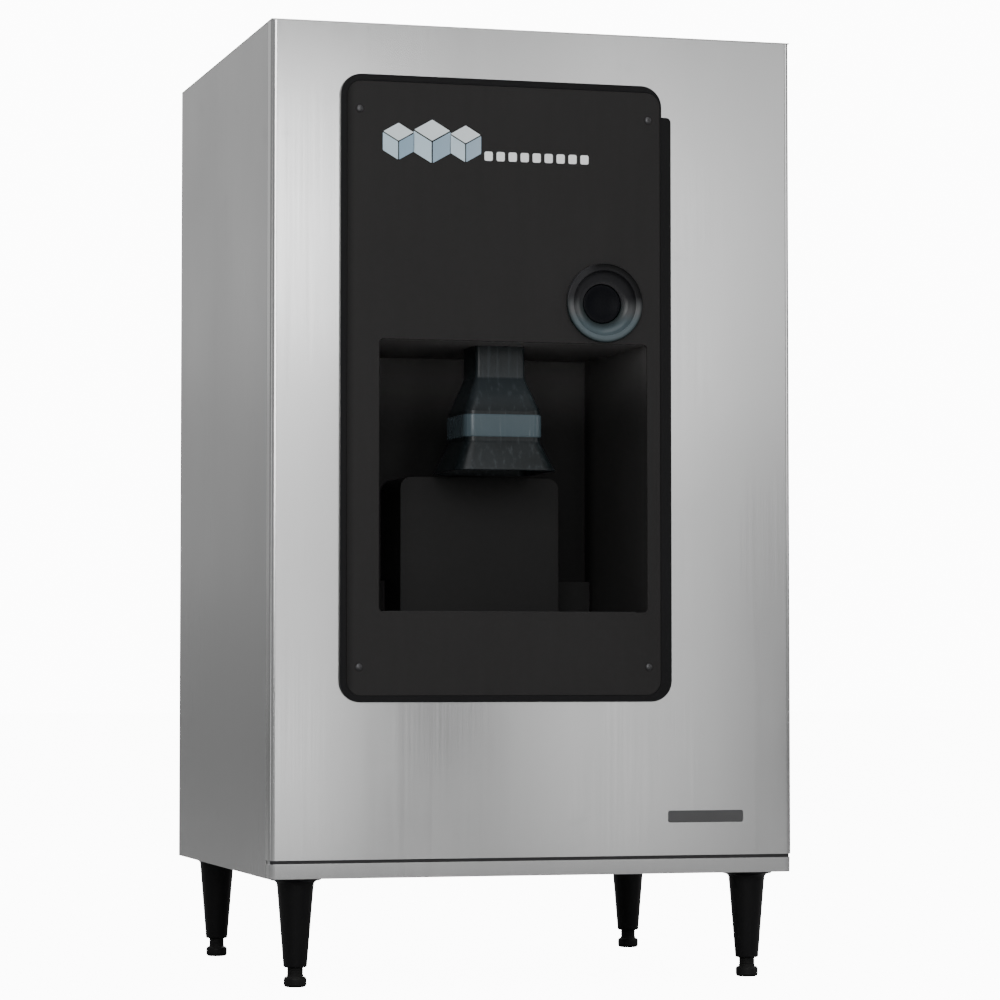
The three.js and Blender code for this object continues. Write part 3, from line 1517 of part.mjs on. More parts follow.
function legsAndFeet() {
  const bore = footStem + stemGap;
  const low = footPad + footNeck + fitGap;
  const boreTop = footPad + footNeck + footStemLength + footTravel / 2;
  const legProfile = [
    [0, boreTop],
    [bore, boreTop],
    [bore, low],
    [legLowRadius, low],
    [legTopRadius, legHeight - legPlate * 2],
    [legPlateRadius, legHeight - legPlate],
    [legPlateRadius, legHeight],
    [studHole - fitGap, legHeight],
    [studHole - fitGap, legHeight + panFlange / 2],
    [0, legHeight + panFlange / 2],
  ];
  const pad = footRadius;
  const footProfile = [
    [0, 0],
    [pad * padShare, 0],
    [pad, footPad * padShare / 2],
    [pad, footPad * padShare],
    [footNeckRadius, footPad],
    [footNeckRadius, footPad + footNeck],
    [footStem, footPad + footNeck],
    [footStem, footPad + footNeck + footStemLength],
    [0, footPad + footNeck + footStemLength],
  ];
  legPlaces().forEach(([x, y], i) => {
    add("leg_" + (i + 1), turned(legProfile).translate(x, y, 0), black);
    add("foot_" + (i + 1), turned(footProfile).translate(x, y, 0), black);
  });
}

cabinet();
structure();
fascia();
bay();
chute();
shutter();
button();
bin();
housing();
bearings();
augerAndAgitator();
gears();
drive();
sinkAndGrille();
lid();
electrical();
legsAndFeet();

export default dispenser;
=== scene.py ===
# %% [markdown]
# This notebook dresses a floor-standing ice dispenser: a tall cabinet of brushed stainless steel on
# four black legs, with a dark fascia, an open bay for a bucket, an ice chute and a push button in a
# round dish. The solid model was made first, and it comes in as a fixed frame. Each visible piece
# is then modelled over its solid at the same place and size, and every surface gets a finish of its
# own.

# %% Load the frame
import json
import math

import bpy
from mathutils import Matrix, Vector


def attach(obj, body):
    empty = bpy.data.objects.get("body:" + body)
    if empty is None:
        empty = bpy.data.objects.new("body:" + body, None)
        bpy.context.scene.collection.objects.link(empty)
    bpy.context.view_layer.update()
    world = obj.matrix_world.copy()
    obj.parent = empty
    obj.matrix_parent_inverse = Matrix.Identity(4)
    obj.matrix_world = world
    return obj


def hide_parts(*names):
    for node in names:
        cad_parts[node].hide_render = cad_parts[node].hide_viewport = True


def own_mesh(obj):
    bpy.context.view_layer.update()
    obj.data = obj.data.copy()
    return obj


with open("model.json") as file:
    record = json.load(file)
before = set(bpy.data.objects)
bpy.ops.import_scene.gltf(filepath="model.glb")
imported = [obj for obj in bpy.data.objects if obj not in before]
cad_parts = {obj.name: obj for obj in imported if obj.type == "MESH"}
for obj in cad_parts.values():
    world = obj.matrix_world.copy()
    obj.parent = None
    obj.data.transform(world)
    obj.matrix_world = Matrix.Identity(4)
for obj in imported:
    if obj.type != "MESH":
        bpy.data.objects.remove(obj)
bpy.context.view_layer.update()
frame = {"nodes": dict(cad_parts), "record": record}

# %% [markdown]
# Blender works in metres and this cabinet is drawn in millimetres, so one small function turns a
# point in millimetres into metres. Blender's operators act on all that is selected, so two more
# functions make sure that only the wanted piece, and in edit mode only the wanted corners or edges,
# are selected.

# %% Millimetres and selecting
MM = 0.001


def mm(*point):
    """A point in millimetres, given back in metres."""
    return Vector(point) * MM


def select_only(*pieces):
    """Select these pieces and nothing else. The first one is the active one."""
    if bpy.context.object and bpy.context.object.mode == "EDIT":
        bpy.ops.object.mode_set(mode="OBJECT")
    bpy.ops.object.select_all(action="DESELECT")
    for piece in pieces:
        piece.select_set(True)
    if pieces:
        bpy.context.view_layer.objects.active = pieces[0]


def edit(piece, kind, wanted):
    """Open a piece in edit mode with only the wanted parts of that kind selected."""
    select_only(piece)
    bpy.ops.object.mode_set(mode="EDIT")
    bpy.ops.mesh.select_mode(type=kind)
    bpy.ops.mesh.select_all(action="DESELECT")
    bpy.ops.object.mode_set(mode="OBJECT")
    for part in piece.data.vertices if kind == "VERT" else piece.data.edges:
        part.select = bool(wanted(part))
    bpy.ops.object.mode_set(mode="EDIT")


def ends(piece, edge):
    """The two ends of an edge, in millimetres."""
    return [piece.data.vertices[i].co / MM for i in edge.vertices]


# %% [markdown]
# Nearly all of the cabinet is folded or moulded from flat stock, so the work starts from slabs: a
# cube is added at the slab's size and place. The edges that run along one axis can then be rounded
# with the bevel tool, as a press brake rounds a fold, and holes are cut by taking other slabs away
# with the Boolean modifier.

# %% Slabs, rounded edges and cutting
def slab(name, low, high):
    """A block between its lowest and its highest corner, in millimetres."""
    select_only()
    low, high = mm(*low), mm(*high)
    bpy.ops.mesh.primitive_cube_add(size=1, location=(low + high) / 2, scale=high - low)
    piece = bpy.context.object
    piece.name = name
    bpy.ops.object.transform_apply(location=True, rotation=True, scale=True)
    return piece


def round_edges(piece, axis, radius, segments=8, where=lambda middle: True):
    """Bevel the edges that run along an axis (0, 1 or 2) and whose middle passes the test."""
    others = [k for k in range(3) if k != axis]

    def wanted(edge):
        a, b = ends(piece, edge)
        straight = all(abs(a[k] - b[k]) < 0.01 for k in others)
        return straight and abs(a[axis] - b[axis]) > 0.1 and where((a + b) / 2)

    edit(piece, "EDGE", wanted)
    bpy.ops.mesh.bevel(offset=radius * MM, segments=segments, affect="EDGES")
    bpy.ops.object.mode_set(mode="OBJECT")
    return piece


def combine(piece, kind, *tools):
    """Join other pieces to a piece (UNION) or take them away from it (DIFFERENCE)."""
    for tool in tools:
        change = piece.modifiers.new("change", "BOOLEAN")
        change.operation, change.solver, change.object = kind, "EXACT", tool
        select_only(piece)
        bpy.ops.object.modifier_apply(modifier=change.name)
        bpy.data.objects.remove(tool)
    return piece


# %% [markdown]
# No real edge is perfectly sharp, and it is the small rounded edges that catch the light. The Bevel
# modifier rounds every edge that turns by more than an angle. Weighted normals then keep the large
# faces flat to the eye while the narrow bevels shade as smooth bends.

# %% Softening edges and shading
def shade(piece, angle=50):
    """Shade smoothly, apart from edges that turn by more than the angle in degrees."""
    select_only(piece)
    bpy.ops.object.shade_smooth_by_angle(angle=math.radians(angle))
    flat = piece.modifiers.new("flat faces", "WEIGHTED_NORMAL")
    flat.keep_sharp = True
    bpy.ops.object.modifier_apply(modifier=flat.name)
    return piece


def soften(piece, width, segments=2, angle=40):
    """Round every edge that turns by more than the angle, over a width in millimetres."""
    soft = piece.modifiers.new("soft edges", "BEVEL")
    soft.width, soft.segments, soft.limit_method = width * MM, segments, "ANGLE"
    soft.angle_limit = math.radians(angle)
    soft.use_clamp_overlap = True
    select_only(piece)
    bpy.ops.object.modifier_apply(modifier=soft.name)
    return shade(piece)


# %% [markdown]
# Round pieces such as the legs, the button and its dish are made as on a lathe. A circle is added,
# and its edge loop is extruded and scaled once for each point of the profile. That gives the same
# result as the spin tool and keeps each ring of edges easy to find again. A closed profile is
# bridged into a ring, an open one is capped.

# %% Turning round pieces
LAY = {"X": (0, math.pi / 2, 0), "Y": (-math.pi / 2, 0, 0), "Z": (0, 0, 0)}


def turned(name, profile, centre, axis="Z", segments=64):
    """profile is a list of (radius, height) in millimetres, and the heights run along the axis."""
    ring = profile[0] == profile[-1]
    points = profile[:-1] if ring else profile
    select_only()
    radius, height = points[0]
    bpy.ops.mesh.primitive_circle_add(
        vertices=segments, radius=radius * MM, location=(0, 0, height * MM), fill_type="NOTHING",
    )
    piece = bpy.context.object
    piece.name = name
    bpy.ops.object.transform_apply(location=True, rotation=True, scale=True)
    edit(piece, "EDGE", lambda edge: True)
    for new_radius, new_height in points[1:]:
        step = (new_height - height) * MM
        bpy.ops.mesh.extrude_region_move(TRANSFORM_OT_translate={"value": (0, 0, step)})
        grow = new_radius / radius
        bpy.ops.transform.resize(value=(grow, grow, 1), center_override=(0, 0, new_height * MM))
        radius, height = new_radius, new_height
    bpy.ops.object.mode_set(mode="OBJECT")
    last = (len(points) - 1) * segments

    def first_loop(edge):
        return max(edge.vertices) < segments

    def last_loop(edge):
        return min(edge.vertices) >= last

    if ring:
        edit(piece, "EDGE", lambda edge: first_loop(edge) or last_loop(edge))
        bpy.ops.mesh.bridge_edge_loops()
    else:
        for loop in (first_loop, last_loop):
            edit(piece, "EDGE", loop)
            bpy.ops.mesh.edge_face_add()
    bpy.ops.mesh.select_all(action="SELECT")
    bpy.ops.mesh.normals_make_consistent(inside=False)
    bpy.ops.object.mode_set(mode="OBJECT")
    piece.rotation_euler, piece.location = LAY[axis], mm(*centre)
    bpy.ops.object.transform_apply(location=True, rotation=True, scale=True)
    return piece


def curve(start, end, steps, bulge):
    """Points of a quarter round from start to end.

    bulge is +1 to leave start along the radius and -1 to leave it along the height.
    """
    (r0, h0), (r1, h1) = start, end
    points = []
    for i in range(steps + 1):
        turn = i / steps * math.pi / 2
        along, across = math.sin(turn), 1 - math.cos(turn)
        if bulge < 0:
            along, across = across, along
        points.append((r0 + (r1 - r0) * along, h0 + (h1 - h0) * across))
    return points


# %% [markdown]
# Some pieces repeat: four legs, four feet, four screws, two columns of vents. Each is modelled
# once, and a copy with its own mesh is slid to the next place, so that every finished piece stays
# at the origin and unturned. Where many small shapes make one piece, they are joined.

# %% Copying and joining
def copied(piece, name, shift):
    """A copy with its own mesh, slid by a shift in millimetres."""
    twin = piece.copy()
    twin.data = piece.data.copy()
    twin.name = name
    bpy.context.collection.objects.link(twin)
    twin.data.transform(Matrix.Translation(mm(*shift)))
    return twin


def joined(name, pieces):
    """Make one piece out of several."""
    select_only(*pieces)
    bpy.ops.object.join()
    piece = bpy.context.object
    piece.name = name
    return piece


# %% [markdown]
# Every finished piece is handed over in the same way. It gets its material, it is told which body
# of the assembly it moves with, and the solid under it is hidden where it stands for one.

# %% Handing a piece over
def finished(piece, body, slot, finish, *stands_for):
    """Give a piece its finish, the body that it moves with, and the solids that it stands for."""
    piece.data.materials.clear()
    piece.data.materials.append(finish)
    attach(piece, body)
    if stands_for:
        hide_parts(*stands_for)
    triangles = sum(len(face.vertices) - 2 for face in piece.data.polygons)
    print(f"{piece.name}: {triangles} triangles, on {body}")
    return piece


# %% [markdown]
# A finish is a small network of nodes. The Wire class wraps one socket, so that a sum such as 0.3 +
# 0.1 * grain can be written as it is thought, and each sign adds its Math node.

# %% Sums of sockets
class Wire:
    """One output socket of a finish's nodes, or a sum of several."""

    def __init__(self, finish, socket):
        self.finish, self.socket = finish, socket

    def sum(self, operation, first, second):
        return self.finish.node("ShaderNodeMath", {"operation": operation}, {0: first, 1: second})

    def __add__(self, other):
        return self.sum("ADD", self, other)

    def __sub__(self, other):
        return self.sum("SUBTRACT", self, other)

    def __rsub__(self, other):
        return self.sum("SUBTRACT", other, self)

    def __mul__(self, other):
        return self.sum("MULTIPLY", self, other)

    def __pow__(self, other):
        return self.sum("POWER", self, other)

    __radd__, __rmul__ = __add__, __mul__


# %% [markdown]
# Finish holds one material. node() adds any node, first its settings and then its values, and the
# other methods are the few patterns that every finish here uses. All patterns are laid out in the
# object's own metres, so they stay at their real scale on every piece. Where a scale is asked for,
# it is the number of waves in a metre.

# %% A finish and its patterns
class Finish:
    """A material. The constants are sockets of its shader that are the same all over."""

    def __init__(self, name, **constants):
        self.material = bpy.data.materials.new(name)
        self.material.use_nodes = True
        self.tree = self.material.node_tree
        self.shader = self.tree.nodes["Principled BSDF"]
        for socket, value in constants.items():
            self.shader.inputs[socket.replace("_", " ")].default_value = value
        self.place = self.node("ShaderNodeTexCoord", output="Object")

    def node(self, kind, settings=None, values=None, output=0):
        """Add a node of a kind, and give back the wire that leaves it."""
        node = self.tree.nodes.new(kind)
        for setting, value in (settings or {}).items():
            setattr(node, setting, value)
        for socket, value in (values or {}).items():
            self.feed(node.inputs[socket], value)
        return Wire(self, node.outputs[output])

    def feed(self, socket, value):
        """Link a wire to a socket, or set a plain value on it."""
        if isinstance(value, Wire):
            self.tree.links.new(value.socket, socket)
        else:
            socket.default_value = value

    def mapped(self, scale, move=(0, 0, 0)):
        """The place on the piece, scaled along x, y and z and then moved."""
        values = {"Vector": self.place, "Location": move, "Scale": scale}
        return self.node("ShaderNodeMapping", None, values)

    def noise(self, scale, detail=2.0, rough=0.5, move=(0, 0, 0)):
        """Noise with so many waves in a metre along x, y and z."""
        values = {"Vector": self.mapped(scale, move), "Scale": 1.0}
        values.update({"Detail": detail, "Roughness": rough})
        return self.node("ShaderNodeTexNoise", None, values)

    def cells(self, scale, output="Distance"):
        """Voronoi cells, so many in a metre along x, y and z."""
        values = {"Vector": self.mapped(scale), "Scale": 1.0}
        return self.node("ShaderNodeTexVoronoi", None, values, output)

    def along(self, axis):
        """The place along one axis, in metres."""
        return self.node("ShaderNodeSeparateXYZ", None, {"Vector": self.place}, output=axis)

    def between(self, value, low, high, to_low=0.0, to_high=1.0):
        """to_low below low, to_high above high, and an even rise between them."""
        return self.node("ShaderNodeMapRange", {"interpolation_type": "SMOOTHSTEP"}, {
            "Value": value, "From Min": low, "From Max": high, "To Min": to_low, "To Max": to_high,
        })

    def mix(self, amount, first, second):
        """The first colour where amount is 0, and the second where it is 1."""
        colours = [c if isinstance(c, Wire) else (*c, 1.0) for c in (first, second)]
        values = {0: amount, 6: colours[0], 7: colours[1]}
        return self.node("ShaderNodeMix", {"data_type": "RGBA"}, values, output=2)

    def bumps(self, height, depth, strength=1.0):
        """Turn a height from 0 to 1 into relief of that depth in millimetres."""
        values = {"Height": height, "Distance": depth * MM, "Strength": strength}
        return self.node("ShaderNodeBump", None, values)

    def done(self, **inputs):
        """Feed the shader's own sockets and give back the finished material."""
        for socket, value in inputs.items():
            self.feed(self.shader.inputs[socket.replace("_", " ")], value)
        return self.material


# %% [markdown]
# Brushed stainless steel is the cabinet's face. The sheet is drawn under an abrasive belt, so its
# grain is thousands of fine straight scratches, and under them run wider streaks where the belt
# pressed more. Stretched noise gives both: many waves across the grain and few along it. The
# scratches change the roughness and the relief more than the colour. Broad, faint noise stands for
# wiping marks. The grain's direction is an argument, because it stands upright on the front, sides
# and rear and lies from front to rear on the top.

# %% Brushed steel
def brushed_steel(name, grain, tone=0.60, rough=0.34, streaks=1.0):
    """grain is the axis that the scratches run along."""
    steel = Finish(name, Metallic=1.0)

    def waves(across, length):
        return tuple(length if k == grain else across for k in range(3))

    fine = steel.noise(waves(1500, 4.0), detail=3)
    wide = steel.noise(waves(190, 1.1), detail=4, rough=0.6)
    broad = steel.noise(waves(22, 0.7), detail=2)
    wiped = steel.noise((3.1, 3.1, 2.3), detail=3, move=(4, 2, 7))
    worn = steel.between(steel.noise((9, 9, 14), detail=4, rough=0.65), 0.60, 0.80)
    light = (fine - 0.5) * 0.16 + (wide - 0.5) * 0.20 * streaks + (broad - 0.5) * 0.10 * streaks
    scratched = rough + (fine - 0.5) * 0.12 + (wiped - 0.5) * 0.14 + (wide - 0.5) * 0.08
    dark_side = tuple(tone * 0.86 * k for k in (1.0, 1.0, 0.995))
    pale_side = tuple(tone * 1.14 * k for k in (0.995, 1.0, 1.005))
    return steel.done(
        Base_Color=steel.mix(light + 0.5, dark_side, pale_side),
        Roughness=scratched + worn * 0.05,
        Normal=steel.bumps(fine * 0.7 + wide * 0.3, 0.020, 0.55),
    )


front_steel = brushed_steel("steel_front", 2, tone=0.62, rough=0.20)
side_steel = brushed_steel("steel_side", 2, tone=0.55, rough=0.32)
top_steel = brushed_steel("steel_top", 1, tone=0.60)
inner_steel = brushed_steel("steel_inner", 0, tone=0.46, rough=0.30, streaks=0.5)
grille_metal = brushed_steel("anodised_grille", 0, tone=0.040, rough=0.45, streaks=0.5)
for material in (front_steel, side_steel, top_steel, inner_steel, grille_metal):
    print(material.name, len(material.node_tree.nodes), "nodes")

# %% [markdown]
# Hidden sheet such as the base pan and the drive plate is zinc-coated, not stainless. Hot zinc
# cools in flat crystals called spangle, some paler and some rougher than their neighbours, which is
# what Voronoi cells are.

# %% Zinc-coated sheet
def zinc_sheet():
    zinc = Finish("zinc_sheet", Metallic=0.9)
    crystal = zinc.node("ShaderNodeSeparateColor", None, {"Color": zinc.cells((70, 70, 55), "Color")})
    cloud = zinc.noise((14, 14, 14), detail=4)
    white_rust = zinc.between(zinc.noise((6, 6, 9), detail=5, rough=0.7), 0.58, 0.72)
    base = zinc.mix(crystal, (0.40, 0.41, 0.42), (0.53, 0.54, 0.55))
    return zinc.done(
        Base_Color=zinc.mix(white_rust * 0.35, base, (0.60, 0.61, 0.61)),
        Roughness=0.36 + crystal * 0.14 + cloud * 0.10 + white_rust * 0.15,
        Normal=zinc.bumps(crystal * 0.4 + cloud, 0.05, 0.5),
    )


zinc = zinc_sheet()
print(zinc.name, len(zinc.node_tree.nodes), "nodes")

# %% [markdown]
# Most dark parts are moulded or pressed plastic. They share one recipe: a fine spark-eroded grain
# in the relief, a soft mottling in the colour, rougher and cleaner patches where hands and cloths
# pass, and dust that lightens what faces up. The arguments give each part its own colour, gloss and
# grain. The bay gets painted light and shade: its far wall is painted nearly black as painted shade,
# and painted light makes it paler towards the roof and behind the guard.

# %% Plastics
def plastic(
    name, colour, rough, grain=900, relief=0.02, mottle=0.14, rub=0.10, dust=0.0, gloss=0.5, paler_tone=0.0,
):
    part = Finish(name, Specular_IOR_Level=gloss)
    speck = part.noise((grain, grain, grain), detail=2, rough=0.6)
    cloud = part.noise((7, 7, 7), detail=4, rough=0.6)
    rubbed = part.noise((2.6, 2.6, 4.5), detail=3, move=(3, 5, 1))
    scuffs = part.between(part.noise((40, 40, 420), detail=3, rough=0.7), 0.66, 0.76)

    def shade_of(k):
        return tuple(min(1.0, c * k) for c in colour)

    amount = 0.5 + (cloud - 0.5) * 1.1 + (speck - 0.5) * 0.5
    tint = part.mix(amount, shade_of(1 - mottle), shade_of(1 + mottle))
    # Painted light and shade in the bay: the far wall is darkened as painted shade, and painted light
    # pales the roof and the far wall behind the guard's left end.
    if paler_tone:
        height = part.along("Z")
        painted_far_wall = part.between(part.along("Y"), -0.10, -0.045)
        painted_roof_light = part.between(height, 0.76, 0.91) ** 2
        corner = painted_far_wall * part.between(part.along("X"), -0.20, -0.13, 0.6, 0.0)
        corner = corner * part.between(height, 0.6, 0.74, 1.0, 0.0)
        tint = part.mix(painted_roof_light + corner, part.mix(painted_far_wall, tint, shade_of(0.14)), shade_of(paler_tone))
    if dust:
        up = part.node("ShaderNodeNewGeometry", output="Normal")
        facing = part.node("ShaderNodeSeparateXYZ", None, {"Vector": up}, output="Z")
        settled = part.between(facing, 0.4, 1.0) * part.between(cloud, 0.3, 0.7, 0.4, 1.0)
        tint = part.mix(settled * dust, tint, (0.30, 0.29, 0.28))
    return part.done(
        Base_Color=tint,
        Roughness=rough + (rubbed - 0.5) * 2 * rub + (speck - 0.5) * 0.08 + scuffs * 0.06,
        Normal=part.bumps(speck * 0.8 + cloud * 0.2, relief, 0.6),
    )


border_plastic = plastic(
    "border_plastic", (0.0110, 0.0110, 0.0116), 0.42, grain=1100, dust=0.02, gloss=0.06,
)
# The bay's plastic has painted shade on its far wall and painted light towards the roof and behind
# the guard.
bay_plastic = plastic(
    "bay_plastic", (0.034, 0.033, 0.033), 0.46, grain=650, relief=0.04, gloss=0.15, paler_tone=4.0,
)
guard_plastic = plastic(
    "guard_plastic", (0.0180, 0.0177, 0.0178), 0.50, grain=650, relief=0.05, dust=0.03, gloss=0.12,
)
strip_plastic = plastic(
    "strip_plastic", (0.084, 0.084, 0.086), 0.32, grain=1400, relief=0.01, gloss=0.2,
)
leg_plastic = plastic(
    "leg_plastic", (0.0050, 0.0050, 0.0054), 0.33, grain=1200, relief=0.02, dust=0.03, gloss=0.15,
)
foot_plastic = plastic(
    "foot_plastic", (0.009, 0.009, 0.009), 0.55, grain=500, relief=0.06, dust=0.06, gloss=0.15,
)
button_plastic = plastic(
    "button_plastic", (0.0040, 0.0044, 0.0060), 0.26, grain=1500, relief=0.006, rub=0.08, gloss=0.05,
)
liner_plastic = plastic(
    "liner_plastic", (0.72, 0.75, 0.77), 0.34, grain=400, mottle=0.03, rub=0.06,
)
lid_plastic = plastic(
    "lid_plastic", (0.56, 0.58, 0.59), 0.40, grain=700, relief=0.05, mottle=0.04, rub=0.08, dust=0.10,
)
rubber = plastic("rubber", (0.018, 0.018, 0.019), 0.72, grain=300, relief=0.05, dust=0.10)
inlet_plastic = plastic("inlet_plastic", (0.012, 0.012, 0.013), 0.36, grain=900)
rocker_plastic = plastic("rocker_plastic", (0.016, 0.016, 0.018), 0.26, grain=900, rub=0.06)
coil_plastic = plastic("coil_plastic", (0.030, 0.052, 0.098), 0.40, grain=500, mottle=0.2)
gear_plastic = plastic("gear_plastic", (0.66, 0.64, 0.58), 0.42, grain=500, mottle=0.05)
gearbox_paint = plastic(
    "gearbox_paint", (0.062, 0.080, 0.100), 0.40, grain=160, relief=0.10, mottle=0.12,
)
motor_paint = plastic(
    "motor_paint", (0.030, 0.034, 0.040), 0.38, grain=200, relief=0.08, mottle=0.15,
)
box_paint = plastic("box_paint", (0.36, 0.37, 0.38), 0.46, grain=220, relief=0.08, mottle=0.05)
foam = plastic("foam", (0.72, 0.62, 0.36), 0.88, grain=240, relief=0.5, mottle=0.12)
print("plastics ready, for example", foam.name, len(foam.node_tree.nodes), "nodes")

# %% [markdown]
# The large dark panel is different: it is a smooth satin film over a plate, the part that people
# touch and wipe. Its grain is very fine, and round the button and under it the satin is rubbed to a
# slightly higher gloss. The distance from a point just below the button drives that, worked out
# from the object's own coordinates. Along the left edge, where the panel meets the border, a
# painted shade makes it darker.

# %% Satin film of the fascia
BUTTON = (99.4, 959.0)  # centre of the push button on the front, in mm
BELOW = 25.0  # the most rubbed place lies this far under it


def satin_film():
    film = Finish("fascia_film", Specular_IOR_Level=0.08)
    speck = film.noise((1300, 1300, 1300), detail=2)
    cloud = film.noise((5, 5, 3.2), detail=4, rough=0.6)
    wipes = film.noise((60, 60, 7), detail=3, rough=0.6, move=(2, 0, 1))
    dx = film.along("X") - BUTTON[0] * MM
    dz = film.along("Z") - (BUTTON[1] - BELOW) * MM
    reach = (dx * dx + dz * dz * 0.6) ** 0.5
    touched = film.between(reach, 0.065, 0.17, 1.0, 0.0) * film.between(cloud, 0.30, 0.62)
    amount = 0.5 + (cloud - 0.5) * 0.9 + (speck - 0.5) * 0.5 + (wipes - 0.5) * 0.4
    tint = film.mix(amount, (0.0200, 0.0193, 0.0193), (0.0275, 0.0265, 0.0265))
    # A painted shade darkens the panel along its left edge, where it meets the border.
    past_painted_edge_shade = film.between(film.along("X"), -0.277, -0.262)
    return film.done(
        Base_Color=film.mix(past_painted_edge_shade, (0.0110, 0.0107, 0.0107), tint),
        Roughness=0.44 + (cloud - 0.5) * 0.12 + (wipes - 0.5) * 0.08 - touched * 0.10,
        Normal=film.bumps(speck, 0.012, 0.5),
    )


film = satin_film()
print(film.name, len(film.node_tree.nodes), "nodes")

# %% [markdown]
# The chute is moulded in a dark slate-blue plastic with the faint haze that ice and hard water
# leave, in vertical runs where drops dried. Its flared shoulder, which faces up, is painted a little
# paler as painted light. The band round it is glossier, and its much paler colour is a painted
# highlight. The button's dish is glossy too, and its tones are painted light and shade: a pale
# crescent round its lower half is a painted reflection, bluer at the bottom and greyer at both ends
# where it is painted highlight, while the upper half is graphite painted shade that gets nearly
# black, a painted shadow, at the top and the upper right of the rim. Masks that follow the distance
# from the button and the height put each tone in its place.

# %% Chute, band and dish
def chute_plastic(name, deep, pale, rough):
    chute = Finish(name, Coat_Weight=0.06, Coat_Roughness=0.15, Specular_IOR_Level=0.25)
    runs = chute.noise((150, 150, 7), detail=4, rough=0.6)
    cloud = chute.noise((18, 18, 18), detail=3)
    spots = chute.between(chute.cells((130, 130, 130)), 0.10, 0.32, 1.0, 0.0)
    scale = chute.between(runs, 0.52, 0.72)
    tint = chute.mix(0.25 + (cloud - 0.5) * 0.8 + (runs - 0.5) * 0.5, deep, pale)
    height = chute.along("Z")
    # Painted light: the shoulder, where the flare faces up, is painted paler.
    painted_shoulder_light = chute.between(height, 0.80, 0.83) * chute.between(height, 0.848, 0.875, 1.0, 0.3)
    tint = chute.mix(painted_shoulder_light, tint, pale)
    return chute.done(
        Base_Color=chute.mix(scale * 0.05 + spots * 0.006, tint, (0.40, 0.46, 0.50)),
        Roughness=rough + scale * 0.16 + spots * 0.02,
        Normal=chute.bumps(scale * 0.6 + cloud * 0.4, 0.06, 0.5),
    )


def dish_plastic():
    dish = Finish("dish_plastic", Coat_Roughness=0.12, Specular_IOR_Level=0.1)
    across, height = dish.along("X") - BUTTON[0] * MM, dish.along("Z") - BUTTON[1] * MM
    reach = (across * across + height * height) ** 0.5
    cloud = dish.noise((45, 45, 45), detail=3)
    speck = dish.noise((1200, 1200, 1200), detail=2)
    # Painted light and shade: the pale crescent round the lower half is a painted reflection with
    # painted highlights at its grey ends, the upper half is painted shade, and the top and upper
    # right of the rim get a painted shadow.
    ring = dish.between(reach, 0.027, 0.041) * dish.between(reach, 0.050, 0.057, 1.0, 0.0)
    painted_lower_half = dish.between(height + (cloud - 0.5) * 0.004, -0.012, 0.012, 1.0, 0.0)
    blue = dish.mix(cloud, (0.064, 0.090, 0.103), (0.080, 0.106, 0.117))
    pale = dish.mix(dish.between(height, -0.030, -0.008), blue, (0.092, 0.094, 0.096))
    painted_rim_shadow = dish.between(reach, 0.040, 0.054) * dish.between(across, -0.030, -0.008)
    painted_upper_shade = dish.mix(painted_rim_shadow, (0.0230, 0.0230, 0.0250), (0.0004, 0.0005, 0.0006))
    painted_shade_halves = dish.mix(painted_lower_half, painted_upper_shade, (0.0075, 0.0135, 0.0140))
    return dish.done(
        Base_Color=dish.mix(painted_lower_half * ring, painted_shade_halves, pale),
        Roughness=0.30 - ring * 0.08 + (cloud - 0.5) * 0.10 + (speck - 0.5) * 0.05,
        Coat_Weight=ring * painted_lower_half * 0.2,
        Normal=dish.bumps(speck * 0.3 + cloud * 0.7, 0.02, 0.4),
    )


DARK_SLATE, SLATE = (0.0036, 0.0058, 0.0064), (0.0235, 0.0300, 0.0340)
# The band's two pale blues are a painted highlight on the real raised band.
BAND_HIGHLIGHT_DEEP, BAND_HIGHLIGHT_PALE = (0.060, 0.088, 0.104), (0.080, 0.108, 0.122)
chute_blue = chute_plastic("chute_plastic", DARK_SLATE, SLATE, 0.34)
band_blue = chute_plastic("band_plastic", BAND_HIGHLIGHT_DEEP, BAND_HIGHLIGHT_PALE, 0.22)
dish_blue = dish_plastic()
print(chute_blue.name, band_blue.name, dish_blue.name)

# %% [markdown]
# Small metal parts: bright plated screws, the oil-filled bronze of the bearings, the cut steel of
# the pinion and the wire of the spring. One recipe with turned marks and spots of wear serves them
# all.

# %% Small metal parts
def small_metal(name, colour, rough, marks=0.10):
    part = Finish(name, Metallic=1.0)
    turned_marks = part.noise((260, 2200, 260), detail=3)
    cloud = part.noise((60, 60, 60), detail=4, rough=0.6)
    spread = part.noise((30, 30, 30), detail=5, rough=0.7, move=(1, 1, 1))
    stain = part.between(spread, 0.56, 0.72)
    dull = tuple(c * 0.72 for c in colour)
    return part.done(
        Base_Color=part.mix(stain * 0.5 + (cloud - 0.5) * 0.4 + 0.1, colour, dull),
        Roughness=rough + (turned_marks - 0.5) * 2 * marks + stain * 0.12,
        Normal=part.bumps(turned_marks, 0.012, 0.5),
    )


chrome = small_metal("plated_screw", (0.62, 0.62, 0.61), 0.20)
dull_screw = small_metal("blackened_screw", (0.085, 0.085, 0.088), 0.42)
bronze = small_metal("bearing_bronze", (0.56, 0.36, 0.16), 0.34)
gear_steel = small_metal("gear_steel", (0.46, 0.46, 0.47), 0.30)
spring_wire = small_metal("spring_wire", (0.50, 0.50, 0.51), 0.26)
print("metals ready")

# %% [markdown]
# The prints on the fascia are a pale lacquer that is thin enough to show its screen: tiny pinholes
# and a faint fall of colour from a bluer to a whiter grey. Each face of a cube pictogram has its
# own shade, as a shaded drawing has.

